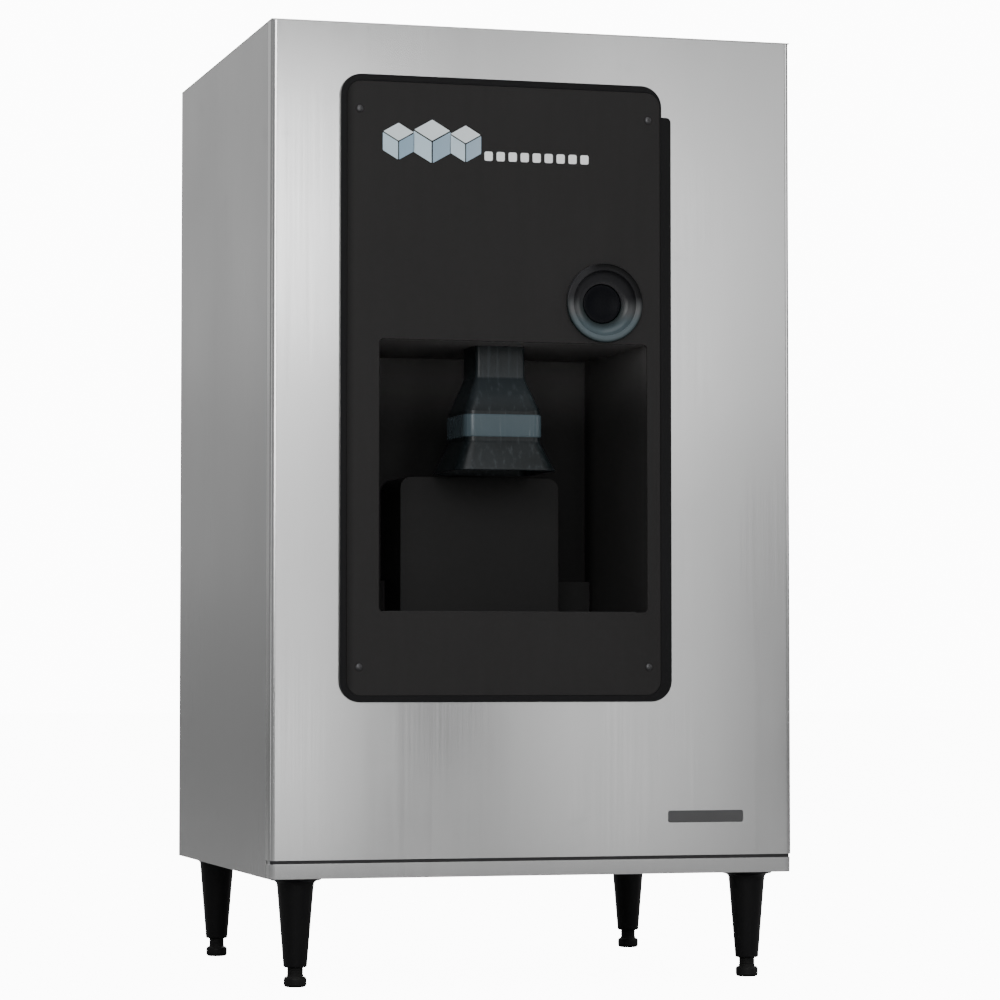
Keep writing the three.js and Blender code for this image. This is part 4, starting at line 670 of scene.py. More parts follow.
# %% Printed lacquer
def lacquer(name, blue, white):
    paint = Finish(name)
    across = paint.between(paint.along("X"), -0.23, 0.08)
    pinholes = paint.between(paint.cells((900, 900, 900)), 0.08, 0.20, 1.0, 0.0)
    cloud = paint.noise((40, 40, 40), detail=3)
    tint = paint.mix(across, blue, white)
    return paint.done(
        Base_Color=paint.mix(pinholes * 0.12 + (cloud - 0.5) * 0.12 + 0.05, tint, (0.10, 0.11, 0.12)),
        Roughness=0.40 + pinholes * 0.15 + (cloud - 0.5) * 0.1,
        Normal=paint.bumps(pinholes + cloud, 0.01, 0.4),
    )


top_print = lacquer("print_top", (0.76, 0.85, 0.88), (0.86, 0.89, 0.90))
left_print = lacquer("print_left", (0.52, 0.68, 0.78), (0.70, 0.78, 0.82))
right_print = lacquer("print_right", (0.26, 0.40, 0.52), (0.44, 0.53, 0.60))
line_print = lacquer("print_line", (0.96, 0.99, 0.99), (0.98, 0.99, 0.99))
print("prints ready")

# %% [markdown]
# The solids that nobody sees from outside keep their shape and only get a finish. The table below
# gives each material slot of the record its finish, and every node takes the one of its slot. The
# rear panel, the top, the bay liner, the grille and the hinge keep their solids as well, because
# their shapes are already right.

# %% Finishes on the solids
SLOT_FINISH = {
    "steel": side_steel, "frame_steel": zinc, "stainless": inner_steel,
    "fascia_border": border_plastic, "fascia": film, "screw": dull_screw, "strip": strip_plastic,
    "bay": bay_plastic, "guard": guard_plastic, "chute": chute_blue, "coil": coil_plastic,
    "bezel": dish_blue, "button": button_plastic, "spring": spring_wire, "switch": rocker_plastic,
    "liner": liner_plastic, "foam": foam, "bush": bronze, "gear_steel": gear_steel,
    "gear_plastic": gear_plastic, "gearbox": gearbox_paint, "motor": motor_paint,
    "grille": grille_metal, "hose": rubber, "fitting": inlet_plastic, "lid": lid_plastic,
    "gasket": rubber, "control_box": box_paint, "inlet": inlet_plastic, "rocker": rocker_plastic,
    "leg": leg_plastic, "foot": foot_plastic,
}
part_slots = {part["node"]: part["material_slot"] for part in frame["record"]["subparts"]}
for node, piece in frame["nodes"].items():
    finish = top_steel if node == "top_panel" else SLOT_FINISH[part_slots[node]]
    for place in piece.material_slots:
        place.material = finish
print("finished solids:", len(part_slots))

# %% [markdown]
# The cabinet's main sizes, in millimetres, are the same as the solids'. The front is one sheet of
# 1.5 mm steel, folded round both sides with an 8 mm bend, and it ends a little above the underside:
# a dark line and a narrow pale band run along the bottom. So the front is a shell over a separate
# rail with a gap between them, and behind the gap a black strip is put as painted shadow, to darken
# the line. All three are slabs with rounded upright edges, made hollow by a slab that is one sheet
# smaller. The rail's lower front edge then leans back by half a millimetre, so that the pale band
# gets darker downwards.

# %% Front shell and bottom rail
FRONT, REAR, SIDE, UNDER, ROOF = -340.0, 340.0, 381.0, 152.0, 1344.0
SHEET, BEND = 1.5, 8.0
RETURN = -314.0  # where the folded sides of the front end
SHELL_END, RAIL_TOP = 177.5, 173.0  # the gap is between them
# The seal set back here is the black strip that stands for the shade in the gap, a painted shadow.
RAIL_BACK, SHADOW_STRIP_BACK = 0.8, 2.3  # how far the rail and the seal lie behind the shell


def folded_front(name, low, high, back=0.0):
    """A sheet bent round the front and both sides, between two heights, set back from the front."""

    def in_front(middle):
        return middle.y < FRONT + 20

    outer = slab(name, (-SIDE + back, FRONT + back, low), (SIDE - back, RETURN, high))
    round_edges(outer, 2, BEND, 10, in_front)
    inner_x, inner_y = SIDE - back - SHEET, FRONT + back + SHEET
    inner = slab("inner", (-inner_x, inner_y, low - 5), (inner_x, RETURN + 5, high + 5))
    round_edges(inner, 2, BEND - SHEET, 10, in_front)
    return combine(outer, "DIFFERENCE", inner)


shell = folded_front("front_shell", SHELL_END, ROOF - SHEET)
middle_hole = slab("hole", (-246, FRONT - 5, 470), (169, FRONT + 5, 1190))
tall_hole = slab("hole", (-246, FRONT - 5, 418), (154, FRONT + 5, 1248))
combine(shell, "DIFFERENCE", middle_hole, tall_hole)
soften(shell, 0.5, 2)
finished(shell, "cabinet", "steel", front_steel, "front_panel")

rail = folded_front("front_rail", UNDER, RAIL_TOP, RAIL_BACK)
edit(rail, "VERT", lambda v: v.co.z < (UNDER + 8) * MM and v.co.y < (FRONT + 15) * MM)
bpy.ops.transform.translate(value=(0, 0.5 * MM, 0))
soften(rail, 0.5, 2)
finished(rail, "cabinet", "steel", front_steel)

# A black strip behind the gap between shell and rail: a painted shadow that darkens the line.
shadow_strip = folded_front("painted_shadow_strip", 158.0, 198.0, SHADOW_STRIP_BACK)
finished(shade(shadow_strip), "cabinet", "gasket", rubber)

# %% [markdown]
# Each side is a flat sheet that meets the front's folded return in an upright seam. A flange on its
# inner face reaches behind the seam, as a joggled joint does, so that no light comes through.

# %% Side skins
def side_sheet(name, sign, depth, ends, low, high):
    """A sheet between two depths under the left (-1) or right (1) face, from one end to the other."""
    x = sorted(sign * (SIDE - d) for d in depth)
    return slab(name, (x[0], ends[0], low), (x[1], ends[1], high))


SEAM = RETURN + 0.8
for sign, word in ((-1, "left"), (1, "right")):
    skin = side_sheet(f"side_skin_{word}", sign, (0, SHEET), (SEAM, REAR), UNDER, ROOF - SHEET)
    soften(skin, 0.7, 3)
    flange = side_sheet("flange", sign, (SHEET + 0.1, SHEET + 1.3), (-329, -296), UNDER + 8, ROOF - 8)
    whole = joined(skin.name, [skin, flange])
    finished(whole, "cabinet", "steel", side_steel, f"side_panel_{word}")

# %% [markdown]
# The fascia's border is a satin black frame. Its outline is stepped at the upper right, where the
# photograph shows a second strip starting a little lower. Two slabs with rounded corners joined
# together make that outline. A wider pocket from the front, 9 mm inside the outline, and a smaller
# opening right through leave the lip that the panel rests on.

# %% Fascia border
def plate(name, x0, x1, z0, z1, y0, y1, radius, steps=10):
    """An upright slab with its corners rounded, seen from the front."""
    piece = slab(name, (x0, y0, z0), (x1, y1, z1))
    return round_edges(piece, 1, radius, steps)


LEFT, RIGHT, LOW, TOP = -283.6, 199.0, 395.0, 1271.0
PROUD = FRONT - 6.0  # front of the border
CORNER = 30.0  # radius of its corners
POCKET, LIP = 9.0, 17.0  # from the outline to the pocket, and from there to the opening
STEP_SIDE, STEP_TOP = 14.0, 44.0  # the second strip is so much wider and lower

border = plate("fascia_border", LEFT, RIGHT - STEP_SIDE, LOW, TOP, PROUD, FRONT, CORNER)
strip_side = slab("strip_side", (100, PROUD, LOW), (RIGHT, FRONT, TOP - STEP_TOP))
round_edges(strip_side, 1, CORNER, 10, lambda middle: middle.z < 500 and middle.x > 150)
round_edges(strip_side, 1, 7, 6, lambda middle: middle.z > 1000 and middle.x > 150)
combine(border, "UNION", strip_side)
left, right, low, top = LEFT + POCKET, RIGHT - STEP_SIDE - 2, LOW + POCKET, TOP - POCKET
pocket = plate("pocket", left, right, low, top, PROUD - 5, FRONT - 2, CORNER - POCKET)
opening = (left + LIP, right - LIP, low + LIP, top - LIP)
through = plate("through", *opening, PROUD - 5, FRONT + 5, 7)
combine(border, "DIFFERENCE", pocket, through)
soften(border, 1.2, 3)
finished(border, "cabinet", "fascia_border", border_plastic, "fascia_frame")

# %% [markdown]
# The fascia panel is a flat plate in the border, with the bay's window and the button's round hole
# cut through it, and it is held by a screw in each corner. The round hole's cutter is a turned
# piece with many steps, because so wide a hole shows its facets.

# %% Fascia panel
FACE = FRONT - 5.7  # front of the fascia panel
BAY = (-228.0, 163.0, 521.0, 901.0)  # left, right, low and high edge of the window
INSET = POCKET + 0.3  # the panel lies in the pocket with a little play

outline = (LEFT + INSET, RIGHT - STEP_SIDE - 2.3, LOW + INSET, TOP - INSET)
panel = plate("fascia_film_panel", *outline, FACE, FRONT - 2, CORNER - INSET)
window = plate("window", *BAY, FACE - 5, FRONT + 5, 6)
dish_hole = turned("dish_hole", [(47.3, -10), (47.3, 10)], (BUTTON[0], FACE, BUTTON[1]), "Y", 96)
combine(panel, "DIFFERENCE", window, dish_hole)
soften(panel, 0.6, 2)
finished(panel, "cabinet", "fascia", film, "fascia_panel")

# %% [markdown]
# The panel is held by four small blackened screws with a cross recess. The head is a low dome,
# turned with its shank in one profile, and the recess is two crossed slots taken out of it.

# %% Fascia screws
SCREWS = [(-256.6, 1222.0), (165.0, 1222.0), (-256.6, 444.0), (165.0, 444.0)]
dome = [(5.0 * math.cos(k * math.pi / 12), 2.2 * math.sin(k * math.pi / 12)) for k in range(6)]
screw_profile = [(0.6, -11), (2.0, -10), (2.4, -8), (2.4, 0), (4.8, 0)] + dome + [(0.5, 2.2)]
first = Vector((SCREWS[0][0], FACE, SCREWS[0][1]))
screw = turned("panel_screw_1", [(r, -h) for r, h in screw_profile], first, "Y", 32)
for dx, dz in ((2.6, 0.55), (0.55, 2.6)):
    low, high = (first.x - dx, FACE - 3, first.z - dz), (first.x + dx, FACE - 1.0, first.z + dz)
    combine(screw, "DIFFERENCE", slab("slot", low, high))
shade(screw, 30)
for i, (x, z) in enumerate(SCREWS):
    twin = screw if i == 0 else copied(screw, f"panel_screw_{i + 1}", (x - first.x, 0, z - first.z))
    finished(twin, "cabinet", "screw", dull_screw, f"fascia_screw_{i + 1}")

# %% [markdown]
# High on the panel, three drawings of ice cubes and a line of small squares are printed in pale
# tones. A cube seen from its corner is a hexagon of three diamonds. Each diamond is a thin plate
# drawn from its four corners and shrunk a little, so that a dark line is left between the faces.

# %% Ice cube pictograms
INK = 0.25  # how thick the prints are


def diamond(corners):
    """A flat print on the fascia. corners are four (x, z) that go round once."""
    x, z = (sum(corner[k] for corner in corners) / 4 for k in (0, 1))
    half = 60.0  # the slab's size doesn't matter, because its corners are moved
    piece = slab("print", (x - half, FACE - INK, z - half), (x + half, FACE, z + half))
    places = {(False, False): 0, (True, False): 1, (True, True): 2, (False, True): 3}
    for vertex in piece.data.vertices:
        corner = corners[places[vertex.co.x > x * MM, vertex.co.z > z * MM]]
        vertex.co.x, vertex.co.z = corner[0] * MM, corner[1] * MM
    return round_edges(piece, 1, 1.1, 3)


def cube_faces(x, z, edge, shrink=0.93):
    """The top, left and right diamond of a cube drawing whose near corner is at x, z."""
    half = edge * math.sqrt(3) / 2
    top = [(x, z), (x + half, z + edge / 2), (x, z + edge), (x - half, z + edge / 2)]
    left = [(x - half, z - edge / 2), (x, z - edge), (x, z), (x - half, z + edge / 2)]
    right = [(x, z - edge), (x + half, z - edge / 2), (x + half, z + edge / 2), (x, z)]
    faces = []
    for corners in (top, left, right):
        cx, cz = sum(c[0] for c in corners) / 4, sum(c[1] for c in corners) / 4
        faces.append([(cx + (a - cx) * shrink, cz + (b - cz) * shrink) for a, b in corners])
    return faces


CUBES = [(-201.0, 1178.0, 27.0), (-152.5, 1179.5, 32.0), (-104.0, 1178.0, 27.0)]  # x, z and edge
drawn = [[diamond(corners) for corners in cube_faces(*cube)] for cube in CUBES]
FACE_INKS = (("top", top_print), ("left", left_print), ("right", right_print))
for k, (word, finish) in enumerate(FACE_INKS):
    faces = joined(f"cube_print_{word}", [cube[k] for cube in drawn])
    finished(faces, "cabinet", "fascia", finish)

# %% Line of squares
FIRST, STEP, COUNT = -70.5, 17.6, 9  # middle of the first square, and the next ones
squares = []
for x in (FIRST + i * STEP for i in range(COUNT)):
    square = slab("square", (x - 6.0, FACE - INK, 1155.5), (x + 6.0, FACE, 1168.5))
    squares.append(round_edges(square, 1, 2.6, 4))
finished(joined("square_prints", squares), "cabinet", "fascia", line_print)

# %% [markdown]
# Low on the right is a narrow dark strip, a thin pressed plate with softly rounded corners.

# %% Dark strip
bar = plate("bare_strip", 195, 307, 224, 241, FRONT - 1.2, FRONT, 3, 6)
soften(bar, 0.5, 2)
finished(bar, "cabinet", "strip", strip_plastic, "blank_strip")

# %% [markdown]
# Behind the window, the guard is a moulded block on a low plinth, and what the eye reads there is
# its soft top corners. It is two slabs, rounded and joined, with generous 2.5 mm edges as moulded
# plastic has.

# %% Splash guard
GUARD_FACE, GUARD_BACK, BAY_FLOOR = -160.0, -40.3, 521.3
guard = slab("guard_cover", (-151.5, GUARD_FACE, BAY_FLOOR), (86.5, GUARD_BACK, 719))
round_edges(guard, 1, 16, 8, lambda middle: middle.z > 700)
wings = slab("wings", (-227.7, GUARD_BACK - 26, BAY_FLOOR), (162.7, GUARD_BACK, 571))
combine(guard, "UNION", wings)
soften(guard, 2.5, 4)
finished(guard, "cabinet", "guard", guard_plastic, "splash_guard")

# %% [markdown]
# The chute is a square neck that widens into a flared skirt. Its walls are drawn as a stack of
# rounded squares, each made by bevelling the corners of a flat plane, and neighbours in the stack
# are bridged. A Solidify modifier then gives the wall its 3 mm. The band round it, pale with a
# painted highlight, is a second, shallower tube just outside the first.

# %% Stacks of rounded squares
CHUTE = (-32.5, -236.0)  # middle of the chute


def rounded_square(half, radius, height):
    """A square loop of edges with round corners, level at a height round the chute's middle."""
    select_only()
    bpy.ops.mesh.primitive_plane_add(size=2 * half * MM, location=mm(*CHUTE, height))
    loop = bpy.context.object
    bpy.ops.object.transform_apply(location=True, rotation=True, scale=True)
    edit(loop, "VERT", lambda vertex: True)
    bpy.ops.mesh.bevel(offset=radius * MM, segments=8, affect="VERTICES")
    bpy.ops.mesh.select_all(action="SELECT")
    bpy.ops.mesh.delete(type="ONLY_FACE")
    bpy.ops.object.mode_set(mode="OBJECT")
    return loop


def loft(name, sections, wall):
    """A tube through the sections, each half a width, a corner's radius and a height."""
    heights = [height for _, _, height in sections]
    piece = joined(name, [rounded_square(*section) for section in sections])
    for low, high in zip(heights, heights[1:]):
        def in_loop(edge):
            a, b = ends(piece, edge)
            return any(abs(a.z - h) < 0.05 and abs(b.z - h) < 0.05 for h in (low, high))
        edit(piece, "EDGE", in_loop)
        bpy.ops.mesh.bridge_edge_loops()
    bpy.ops.mesh.select_all(action="SELECT")
    bpy.ops.mesh.normals_make_consistent(inside=False)
    bpy.ops.object.mode_set(mode="OBJECT")
    thick = piece.modifiers.new("wall", "SOLIDIFY")
    thick.thickness, thick.offset = wall * MM, -1
    thick.use_even_offset = True
    select_only(piece)
    bpy.ops.object.modifier_apply(modifier=thick.name)
    return piece


# %% Chute and band
skirt = [(75, 20, 723), (72.2, 20, 728), (56.6, 14, 762), (56, 14, 766)]
neck = [(56, 14, 806), (55.4, 14, 809), (37.2, 6.4, 854), (36.5, 6, 858), (36.5, 6, 957.7)]
chute = loft("chute_shell", skirt + neck, wall=3.0)
soften(chute, 0.7, 2, angle=60)
finished(chute, "cabinet", "chute", chute_blue, "chute")

hoop = [(56.3, 14, 770.5), (57.6, 14.6, 772), (57.6, 14.6, 801), (56.3, 14, 802.5)]
band = loft("chute_band", hoop, wall=1.2)
shade(band)
finished(band, "cabinet", "chute", band_blue)

# %% [markdown]
# The push button sits in a round hollow dish with a flat rim. The dish's profile is a quarter
# round, steep under the rim and nearly flat at the button, as a bowl is. It is turned in 96 steps
# because its gloss shows every facet. The body behind the fascia and the sleeve that guides the
# button belong to the same turned profile.

# %% Button dish
RIM, DEEP = -10.7, 4.3  # the rim's face and the dish's inner edge, behind the cabinet's front
BODY, SLEEVE = 47.0, 28.3  # outer radius of the body and inner radius of the sleeve
BACK = DEEP + 26  # the sleeve's rear end

dish = [(SLEEVE, BACK), (SLEEVE + 2.5, BACK), (SLEEVE + 2.5, DEEP + 3), (BODY, 2.0), (BODY, -5.6)]
dish += [(55.6, -5.6), (56, -6.2), (56, -8.6)] + curve((56, -8.9), (54.2, RIM), 4, -1)[1:]
dish += [(47.2, RIM), (46.4, RIM + 0.3)]
dish += curve((46.0, RIM + 0.9), (SLEEVE + 0.5, DEEP - 0.1), 16, -1)
dish += [(SLEEVE, DEEP + 0.4), (SLEEVE, BACK)]
bezel = turned("button_dish", dish, (BUTTON[0], FRONT, BUTTON[1]), "Y", 96)
shade(bezel, 40)
finished(bezel, "cabinet", "bezel", dish_blue, "button_bezel")

# %% [markdown]
# The button itself is a deep cap with a slightly hollow face, so a finger finds its middle, and a
# small round at its edge. The stem behind it works the switch. It rides on its own body, because it
# slides in by 6 mm.

# %% Push button
cap = [(0.4, 33.3), (1.5, 33.3), (5, 30.3), (5, 7.8), (25, 7.8), (25, 18.3), (27.5, 18.3)]
cap += [(27.5, 6.6)] + curve((27.5, 6.3), (26.2, 5.3), 4, -1)[1:] + [(25.2, 5.3)]
cap += [(22.6, 5.45), (18.5, 6.0), (13, 6.5), (7, 6.75), (0.4, 6.8)]
button = turned("button_cap", cap, (BUTTON[0], FRONT, BUTTON[1]), "Y", 72)
shade(button, 40)
finished(button, "button", "button", button_plastic, "push_button")

# %% [markdown]
# A coil spring round the stem brings the button back. The Screw modifier winds one: it carries a
# small circle, the wire's section, round the axis and along it.

# %% Return spring
WIRE, COIL, TURNS = 1.2, 9.0, 4  # radius of the wire and of the coil, and its turns
SPRING_FRONT, SPRING_BACK = 9.35, 26.3  # behind the cabinet's front, to the middle of the wire
SIDES, STEPS = 12, 28  # facets round the wire and along one turn

select_only()
upright = (math.pi / 2, 0, 0)
bpy.ops.mesh.primitive_circle_add(
    vertices=SIDES, radius=WIRE * MM, location=(COIL * MM, 0, 0), rotation=upright,
)
spring = bpy.context.object
spring.name = "return_spring"
bpy.ops.object.transform_apply(location=True, rotation=True, scale=True)
wind = spring.modifiers.new("wind", "SCREW")
wind.screw_offset = (SPRING_BACK - SPRING_FRONT) / TURNS * MM
wind.iterations, wind.steps, wind.render_steps = TURNS, STEPS, STEPS
bpy.ops.object.modifier_apply(modifier=wind.name)
edit(spring, "EDGE", lambda edge: True)
bpy.ops.mesh.fill_holes(sides=SIDES)
bpy.ops.mesh.select_all(action="SELECT")
bpy.ops.mesh.normals_make_consistent(inside=False)
bpy.ops.object.mode_set(mode="OBJECT")
spring.rotation_euler, spring.location = LAY["Y"], mm(BUTTON[0], FRONT + SPRING_FRONT, BUTTON[1])
bpy.ops.object.transform_apply(location=True, rotation=True, scale=True)
shade(spring)
finished(spring, "cabinet", "spring", spring_wire, "button_spring")
end = mm(BUTTON[0], FRONT + SPRING_BACK + WIRE, BUTTON[1])
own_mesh(spring)

# %% [markdown]
# The four legs are moulded in black plastic: a mounting plate, a quick flare and a long straight
# taper that ends in a rounded lip. One is turned, and it is copied to the other three corners.

# %% Legs
CORNERS = {
    "front_left": (-332.0, -283.0), "front_right": (332.0, -283.0),
    "rear_left": (-332.0, 283.0), "rear_right": (332.0, 283.0),
}
FIRST_LEG = CORNERS["front_left"]


def at_corners(first, name):
    """The first turned piece and a copy of it at each other corner, with the corners' words."""
    for corner, (x, y) in CORNERS.items():
        shift = (x - FIRST_LEG[0], y - FIRST_LEG[1], 0)
        yield corner, first if corner == "front_left" else copied(first, f"{name}_{corner}", shift)


leg_profile = [(6.5, 88), (6.5, 27.6), (13.6, 27.4)] + curve((13.6, 27.3), (16.6, 29.6), 4, 1)[1:]
leg_profile += [(25.4, 137)] + curve((25.9, 141.5), (34.2, 148.0), 7, -1)
leg_profile += [(35.2, 148.4), (36, 149.2), (36, 151.3), (35.3, 152)]
leg_profile += [(6.7, 152), (6.7, 169), (5.9, 170)]
leg = turned("leg_front_left", leg_profile, (*FIRST_LEG, 0), "Z", 56)
shade(leg, 35)
for i, (corner, twin) in enumerate(at_corners(leg, "leg")):
    finished(twin, "cabinet", "leg", leg_plastic, f"leg_{i + 1}")

# %% [markdown]
# The adjustable foot under each leg has a round pad, a collar and a short threaded neck on a smooth
# stem. It rides on a body of its own, because it screws out to level the cabinet.

# %% Feet
foot_profile = [(11.4, 0), (12.0, 0.0)] + curve((12.2, 0.1), (16, 4.6), 6, 1)[1:] + [(16, 10.2)]
foot_profile += curve((16, 10.4), (12.2, 14.6), 5, -1)[1:] + [(11.5, 15.2), (11.5, 17)]
for z in (17.4, 19.8, 22.2, 24.6):  # four grooves, one above the other
    foot_profile += [(11.5, z), (10.8, z + 0.6), (10.8, z + 1.2), (11.5, z + 1.8)]
foot_profile += [(11.5, 27), (6, 27.2), (6, 78), (5.2, 79)]
foot = turned("foot_pad_front_left", foot_profile, (*FIRST_LEG, 0), "Z", 48)
shade(foot, 35)
for i, (corner, twin) in enumerate(at_corners(foot, "foot_pad")):
    finished(twin, f"foot_{corner}", "foot", foot_plastic, f"foot_{i + 1}")

# %% [markdown]
# On top, a moulded lid closes the opening where ice is filled in. Its plate has round corners, a
# raised border and a thicker lip at the front edge for the fingers, and two arms at the rear turn
# on the hinge's pin. The insulated plug under it is a plain block with soft edges.

# %% Fill lid
HINGE = (218.0, 1350.5)  # y and z of the pin that the lid turns on

lid = slab("lid_cover", (-318, -150, 1348), (318, 212, 1352))
round_edges(lid, 2, 12, 8)
ridge = slab("ridge", (-300, -132, 1351), (300, 196, 1354.6))
round_edges(ridge, 2, 10, 6)
field = slab("field", (-286, -118, 1352), (286, 182, 1360))
round_edges(field, 2, 6, 6)
combine(ridge, "DIFFERENCE", field)
plug = slab("plug", (-288, -120, 1322), (288, 182, 1349))
round_edges(plug, 2, 10, 5)
lip = slab("lip", (-70, -150, 1345.2), (70, -141.5, 1350))
arms = []
for x in (-210, 210):
    arms.append(slab("arm", (x - 20, 198, 1348), (x + 20, HINGE[0], 1353)))
    arms.append(turned("knuckle", [(5, -20), (5, 20)], (x, *HINGE), "X", 32))
combine(lid, "UNION", ridge, plug, lip, *arms)
pin_hole = turned("pin_hole", [(2.8, -330), (2.8, 330)], (0, *HINGE), "X", 24)
combine(lid, "DIFFERENCE", pin_hole)
soften(lid, 0.9, 3, angle=50)
finished(lid, "lid", "lid", lid_plastic, "fill_lid")

# %% [markdown]
# The seal under the lid is a soft hollow strip. Its section bulges, so it is softened much more
# than it is thick.

# %% Lid gasket
gasket = slab("lid_seal", (-308, -140, 1344), (308, 202, 1347.7))
round_edges(gasket, 2, 7, 6)
inside = slab("inside", (-294, -126, 1340), (294, 188, 1352))
round_edges(inside, 2, 4, 5)
combine(gasket, "DIFFERENCE", inside)
soften(gasket, 1.6, 4)
finished(gasket, "cabinet", "gasket", rubber, "lid_gasket")

# %% [markdown]
# The rear is where the drive is cooled. Each vent is a louvre: the sheet is cut along the lower
# edge of the slot and pressed out into a small hood that keeps drips away. One hood is a shallow
# box with its upper edge rounded off, opened from below, and it is copied to every slot of the two
# columns.

# %% Rear louvres
def louvre(name, x, z):
    """A hood over the slot whose lower edge is at z."""
    hood = slab(name, (x - 48, REAR, z - 1.5), (x + 48, REAR + 6.5, z + 8.5))
    round_edges(hood, 0, 6.0, 6, lambda middle: middle.z > z + 5 and middle.y > REAR + 3)
    round_edges(hood, 1, 3.5, 4, lambda middle: middle.z > z + 4)
    hollow = slab("hollow", (x - 46.8, REAR - 1, z - 4), (x + 46.8, REAR + 5.3, z + 6.6))
    combine(hood, "DIFFERENCE", hollow)
    return soften(hood, 0.35, 2)


COLUMNS, ROWS = 2, 7
APART, RISE = 300.0, 16.0  # from one column to the next, and from one row to the next
LOWEST = 300.0  # height of the lowest slots
shifts = [(side * APART, 0, row * RISE) for side in range(COLUMNS) for row in range(ROWS)]
first_hood = louvre("rear_louvres", -APART / 2, LOWEST)
hoods = [first_hood] + [copied(first_hood, "hood", shift) for shift in shifts[1:]]
finished(joined("rear_louvres", hoods), "cabinet", "steel", side_steel)

# %% [markdown]
# The rear panel is screwed to the sides' folded edges, so a row of small hexagon screws runs down
# each edge and along the top. The head is a six-sided prism on a thin washer, chamfered by its own
# profile.

# %% Rear screws
COLUMN = (200, 470, 740, 1010, 1280)  # heights of the screws down each edge
places = [(x, z) for x in (-368, 368) for z in COLUMN]
places += [(x, 1326) for x in (-250, -125, 0, 125, 250)]
first_x, first_z = places[0]
washer_profile = [(4.6, -2), (4.6, 0.7), (4.2, 1.0), (0.5, 1.0)]
washer = turned("rear_screws", washer_profile, (first_x, REAR, first_z), "Y", 24)
hexagon_profile = [(3.4, -1), (3.4, 3.0), (2.9, 3.5), (0.5, 3.5)]
combine(washer, "UNION", turned("hexagon", hexagon_profile, (first_x, REAR, first_z), "Y", 6))
shade(washer, 30)
heads = [washer]
for x, z in places[1:]:
    heads.append(copied(washer, "head", (x - first_x, 0, z - first_z)))
finished(joined("rear_screws", heads), "cabinet", "screw", chrome)

# %% [markdown]
# The drain leaves the rear through a bulkhead fitting with a hexagon nut. The nut is a turned piece
# of six sides with a chamfer, and the round spigot has a small bead at its mouth.

# %% Drain fitting
DRAIN = (-32.5, 0, 215)
spigot = [(0.6, 324.6), (13, 324.6), (13, 349.3), (12.4, 350.5), (11.2, 350.5), (11, 349.9)]
spigot += [(11, 326.6), (0.6, 326.6)]
drain = turned("drain_spigot", spigot, DRAIN, "Y", 48)
ring = [(12, 340.4), (16.8, 340.4), (18.9, 341.6), (18.9, 347.2), (16.8, 348.6), (12, 348.6)]
nut = turned("nut", ring + ring[:1], DRAIN, "Y", 6)
combine(drain, "UNION", nut)
soften(drain, 0.4, 2, angle=30)
finished(drain, "cabinet", "fitting", inlet_plastic, "drain_fitting")

# %% [markdown]
# The power inlet and its switch share one moulded housing. Its face is a plate with rounded corners
# around a deep socket with three flat pins. The switch is a rocker: a bar with a V-shaped face that
# tips in its cradle.

# %% Power inlet
inlet = plate("power_socket", 277, 323, 240, 324, REAR, REAR + 2.5, 5, 6)
well = plate("well", 285, 315, 248, 272, REAR - 22, REAR + 1.2, 4, 5)
combine(inlet, "UNION", well)
socket = plate("socket", 287.5, 312.5, 250.5, 269.5, REAR - 19.5, REAR + 10, 3.2, 5)
combine(inlet, "DIFFERENCE", socket)
for x in (287.2, 310.3):
    cheek = slab("cheek", (x, REAR + 1, 301), (x + 2.5, REAR + 8.1, 311))
    round_edges(cheek, 0, 4.4, 6, lambda middle: middle.y > REAR + 5)
    combine(inlet, "UNION", cheek)
pivot = turned("pivot", [(1.2, -12), (1.2, 12)], (300, REAR + 5.7, 306), "X", 20)
combine(inlet, "UNION", pivot)
soften(inlet, 0.4, 2)
finished(inlet, "cabinet", "inlet", inlet_plastic, "power_inlet")

# %% Socket pins
pins = []
for x in (292.5, 300.0, 307.5):
    pin = slab("pin", (x - 1.2, REAR - 20.5, 257.6), (x + 1.2, REAR - 2.5, 262.4))
    pins.append(soften(pin, 0.5, 2))
finished(joined("socket_pins", pins), "cabinet", "inlet", chrome)

# %% [markdown]
# The camera stands where the photograph was taken from, worked out from the cabinet's edges: low, a
# good five metres away and to the left, with a long lens that is turned a little to the right and
# slightly up.

# %% Camera
camera_data = bpy.data.cameras.new("camera")
camera_data.lens, camera_data.sensor_width = 130.5, 36.0
camera_data.clip_start, camera_data.clip_end = 0.1, 200.0
camera = bpy.data.objects.new("camera", camera_data)
camera.location = (-1.414, -5.237, 0.443)
camera.rotation_euler = (math.radians(92.65), 0.0, math.radians(-15.54))
bpy.context.collection.objects.link(camera)
bpy.context.scene.camera = camera
print("camera at", tuple(round(v, 3) for v in camera.location), "lens", camera_data.lens)

# %% [markdown]
# Brushed steel shows little of its own and much of the room. In the photograph the front has an
# upright bright streak near its left edge, a weaker one near the right edge and a paler top. Each
# is the mirror image of a light in front of the cabinet, so a tall narrow softbox stands where the
# front mirrors it to the camera, and a wider one hangs above each. The large lights beside and
# above them fill the dark plastic. The side mirrors a high and a weaker low light far behind it, so
# it darkens downwards. The strips at the rear and the sides do the same work for someone who walks
# round the cabinet.

# %% Lights
def softbox(name, place, target, width, height, power):
    """A rectangle of light at a place, turned to a target, in metres and watts."""
    data = bpy.data.lights.new(name, "AREA")
    data.shape, data.size, data.size_y = "RECTANGLE", width, height
    data.energy = power
    light = bpy.data.objects.new(name, data)
    light.location = place
    light.rotation_euler = (Vector(target) - Vector(place)).to_track_quat("-Z", "Y").to_euler()
    light.visible_camera = False
    bpy.context.collection.objects.link(light)


